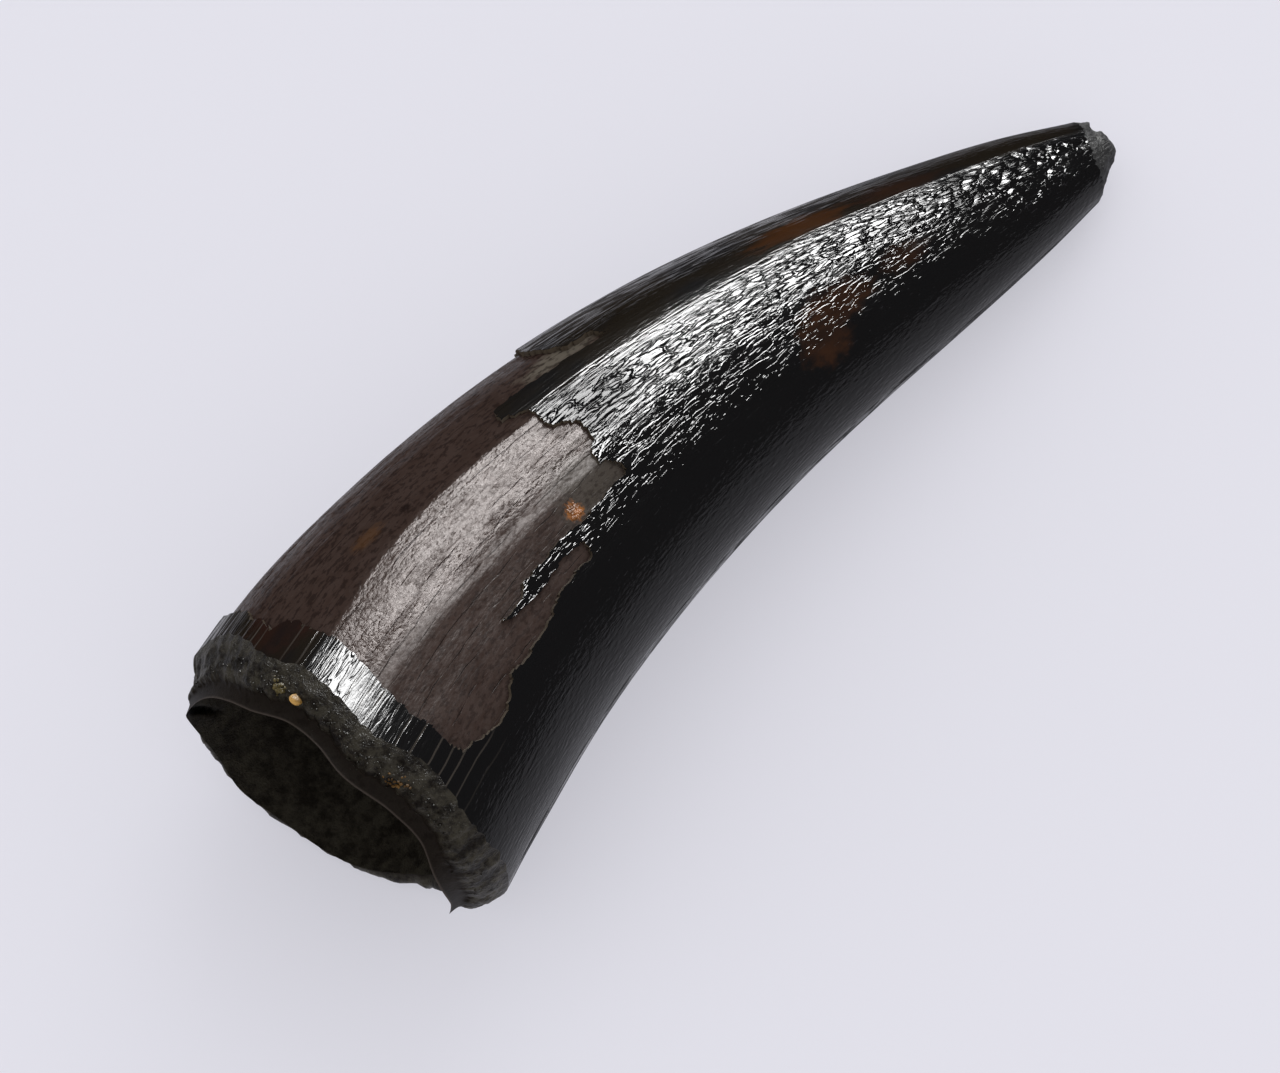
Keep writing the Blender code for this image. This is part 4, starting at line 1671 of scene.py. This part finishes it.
def grain_groups(bed: DentineBed, base: BrokenBase) -> tuple[Grains, ...]:
    """The groups of grains on the dentine and on the broken base.

    Args:
        bed: the dentine, which the rust sits on.
        base: the fracture, which the others sit on.

    Returns:
        The groups, not yet built.
    """
    return (
        Grains(
            "rust_grains", RUST_GRAINS, bed.points, middle=(8.63, 111.0), spread=(0.22, 2.6),
            count=70, half=(0.03, 0.07), seed=41,
        ),
        Grains(
            "cream_grain", CREAM_GRAIN, base.at, middle=(0.47, 76.5), spread=(0.0, 0.0),
            count=1, half=(0.22, 0.24), seed=44,
        ),
        Grains(
            "olive_grains", OLIVE_GRAINS, base.at, middle=(0.36, 69.5), spread=(0.16, 3.0),
            count=40, half=(0.03, 0.08), seed=42,
        ),
        Grains(
            "brown_grains", BROWN_GRAINS, base.at, middle=(0.5, 118.0), spread=(0.2, 4.5),
            count=30, half=(0.02, 0.06), seed=43,
        ),
        Grains(
            "grit", GRIT, base.at, middle=(0.45, 95.0), spread=(0.35, 60.0),
            count=220, half=(0.015, 0.045), seed=45,
        ),
    )


# ---------------------------------------------------------------------------
# Studio
# ---------------------------------------------------------------------------


@dataclass
class Studio:
    """Pale floor, soft light and camera."""

    aim: tuple[float, float] = (-2.22, 0.65)
    elevation: float = 66.0
    bearing: float = 44.7
    distance: float = 144.0
    lens: float = 135.0
    sensor: float = 36.0
    clip: Span = (0.01, 10.0)
    floor_size: float = 1200.0
    mirrored_size: float = 46.0
    softbox_azimuth: float = 14.5
    softbox_elevation: float = 43.0
    softbox_distance: float = 900.0
    softbox_width: float = 520.0
    softbox_height: float = 700.0
    softbox_radiance: float = 1.0
    sheen_radiance: float = 66.0
    sheen_nearer: float = 1.0
    fill: float = 0.86

    def direction(self, azimuth: float, elevation: float) -> Vector:
        """Direction from the tooth, with the azimuth clockwise from straight away from the camera."""
        turn = math.radians(self.bearing + azimuth)
        rise = math.radians(elevation)
        return Vector((math.sin(turn) * math.cos(rise), math.cos(turn) * math.cos(rise), math.sin(rise)))

    def build_camera(self) -> bpy.types.Object:
        """Stand the camera and make it the scene's own."""
        data = bpy.data.cameras.new("camera")
        data.lens, data.sensor_width = self.lens, self.sensor
        data.clip_start, data.clip_end = self.clip
        camera = bpy.data.objects.new("camera", data)
        toward = self.direction(HALF_TURN, self.elevation)
        aim = Vector((*self.aim, 0.0)) * MM
        camera.location = aim + toward * (self.distance * MM)
        camera.rotation_euler = toward.to_track_quat("Z", "Y").to_euler()
        bpy.context.scene.collection.objects.link(camera)
        bpy.context.scene.camera = camera
        return camera

    def build_floor(self) -> None:
        """Lay the floor, of which the tooth mirrors only the part nearby."""
        middle = np.array((*self.aim, 0.0))
        sides = np.array([(-1, -1, 0), (1, -1, 0), (1, 1, 0), (-1, 1, 0)])
        near = middle + sides * (0.5 * self.mirrored_size)
        far = middle + sides * (0.5 * self.floor_size)
        ring = [(corner, (corner + 1) % 4, (corner + 1) % 4 + 4, corner + 4) for corner in range(4)]
        finish = FloorFinish().build()
        inner = Skin(near, np.array([(0, 1, 2, 3)]), {}).object("floor", finish)
        outer = Skin(np.concatenate([far, near]), np.array(ring), {}).object("floor_beyond", finish)
        outer.visible_glossy = False

    def build_softbox(self, name: str, radiance: float, nearer: float) -> bpy.types.Object:
        """Hang a softbox behind the tooth.

        Args:
            name: the light's name.
            radiance: how bright its face is, where a white floor in full light is 1.
            nearer: how far in front of the softbox's place it hangs.

        Returns:
            The light.
        """
        data = bpy.data.lights.new(name, "AREA")
        data.shape = "RECTANGLE"
        data.size, data.size_y = self.softbox_width * MM, self.softbox_height * MM
        data.energy = radiance * WATTS_PER_RADIANCE * data.size * data.size_y
        light = bpy.data.objects.new(name, data)
        toward = self.direction(self.softbox_azimuth, self.softbox_elevation)
        light.location = toward * ((self.softbox_distance - nearer) * MM)
        light.rotation_euler = toward.to_track_quat("Z", "Y").to_euler()
        bpy.context.scene.collection.objects.link(light)
        return light

    def build_world(self) -> bpy.types.World:
        """Give the room an even fill that glossy surfaces don't mirror."""
        world = bpy.data.worlds.new("room")
        world.use_nodes = True
        background = world.node_tree.nodes["Background"]
        background.inputs["Color"].default_value = (1.0, 1.0, 1.0, 1.0)
        background.inputs["Strength"].default_value = self.fill
        world.cycles_visibility.glossy = False
        bpy.context.scene.world = world
        return world

    def build(self) -> None:
        """Set up the whole studio."""
        bpy.context.scene.view_settings.view_transform = "Standard"
        self.build_floor()
        self.build_softbox("softbox", self.softbox_radiance, 0.0)
        self.build_softbox("sheen", self.sheen_radiance, self.sheen_nearer).visible_diffuse = False
        self.build_world()
        self.build_camera()


def main() -> None:
    """Build the tooth and the studio round it."""
    logging.basicConfig(level=logging.INFO, format="%(name)s: %(message)s")
    form = ToothForm()
    shell = EnamelShell(form, WINDOW)
    angles = shell.column_angles()
    base = BrokenBase(form, angles)
    bed = DentineBed(form, WINDOW)
    pieces = [
        shell.build(),
        bed.build(),
        base.build(),
        PulpCavity(form, angles).build(),
        BrokenTip(form, angles).build(),
    ]
    for grains in grain_groups(bed, base):
        pieces.append(grains.build())
    for piece in pieces:
        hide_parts(NODE)
        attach(piece, BODY)
        log.info("%s has %d faces", piece.name, len(piece.data.polygons))
    Studio().build()


if __name__ == "__main__":
    main()
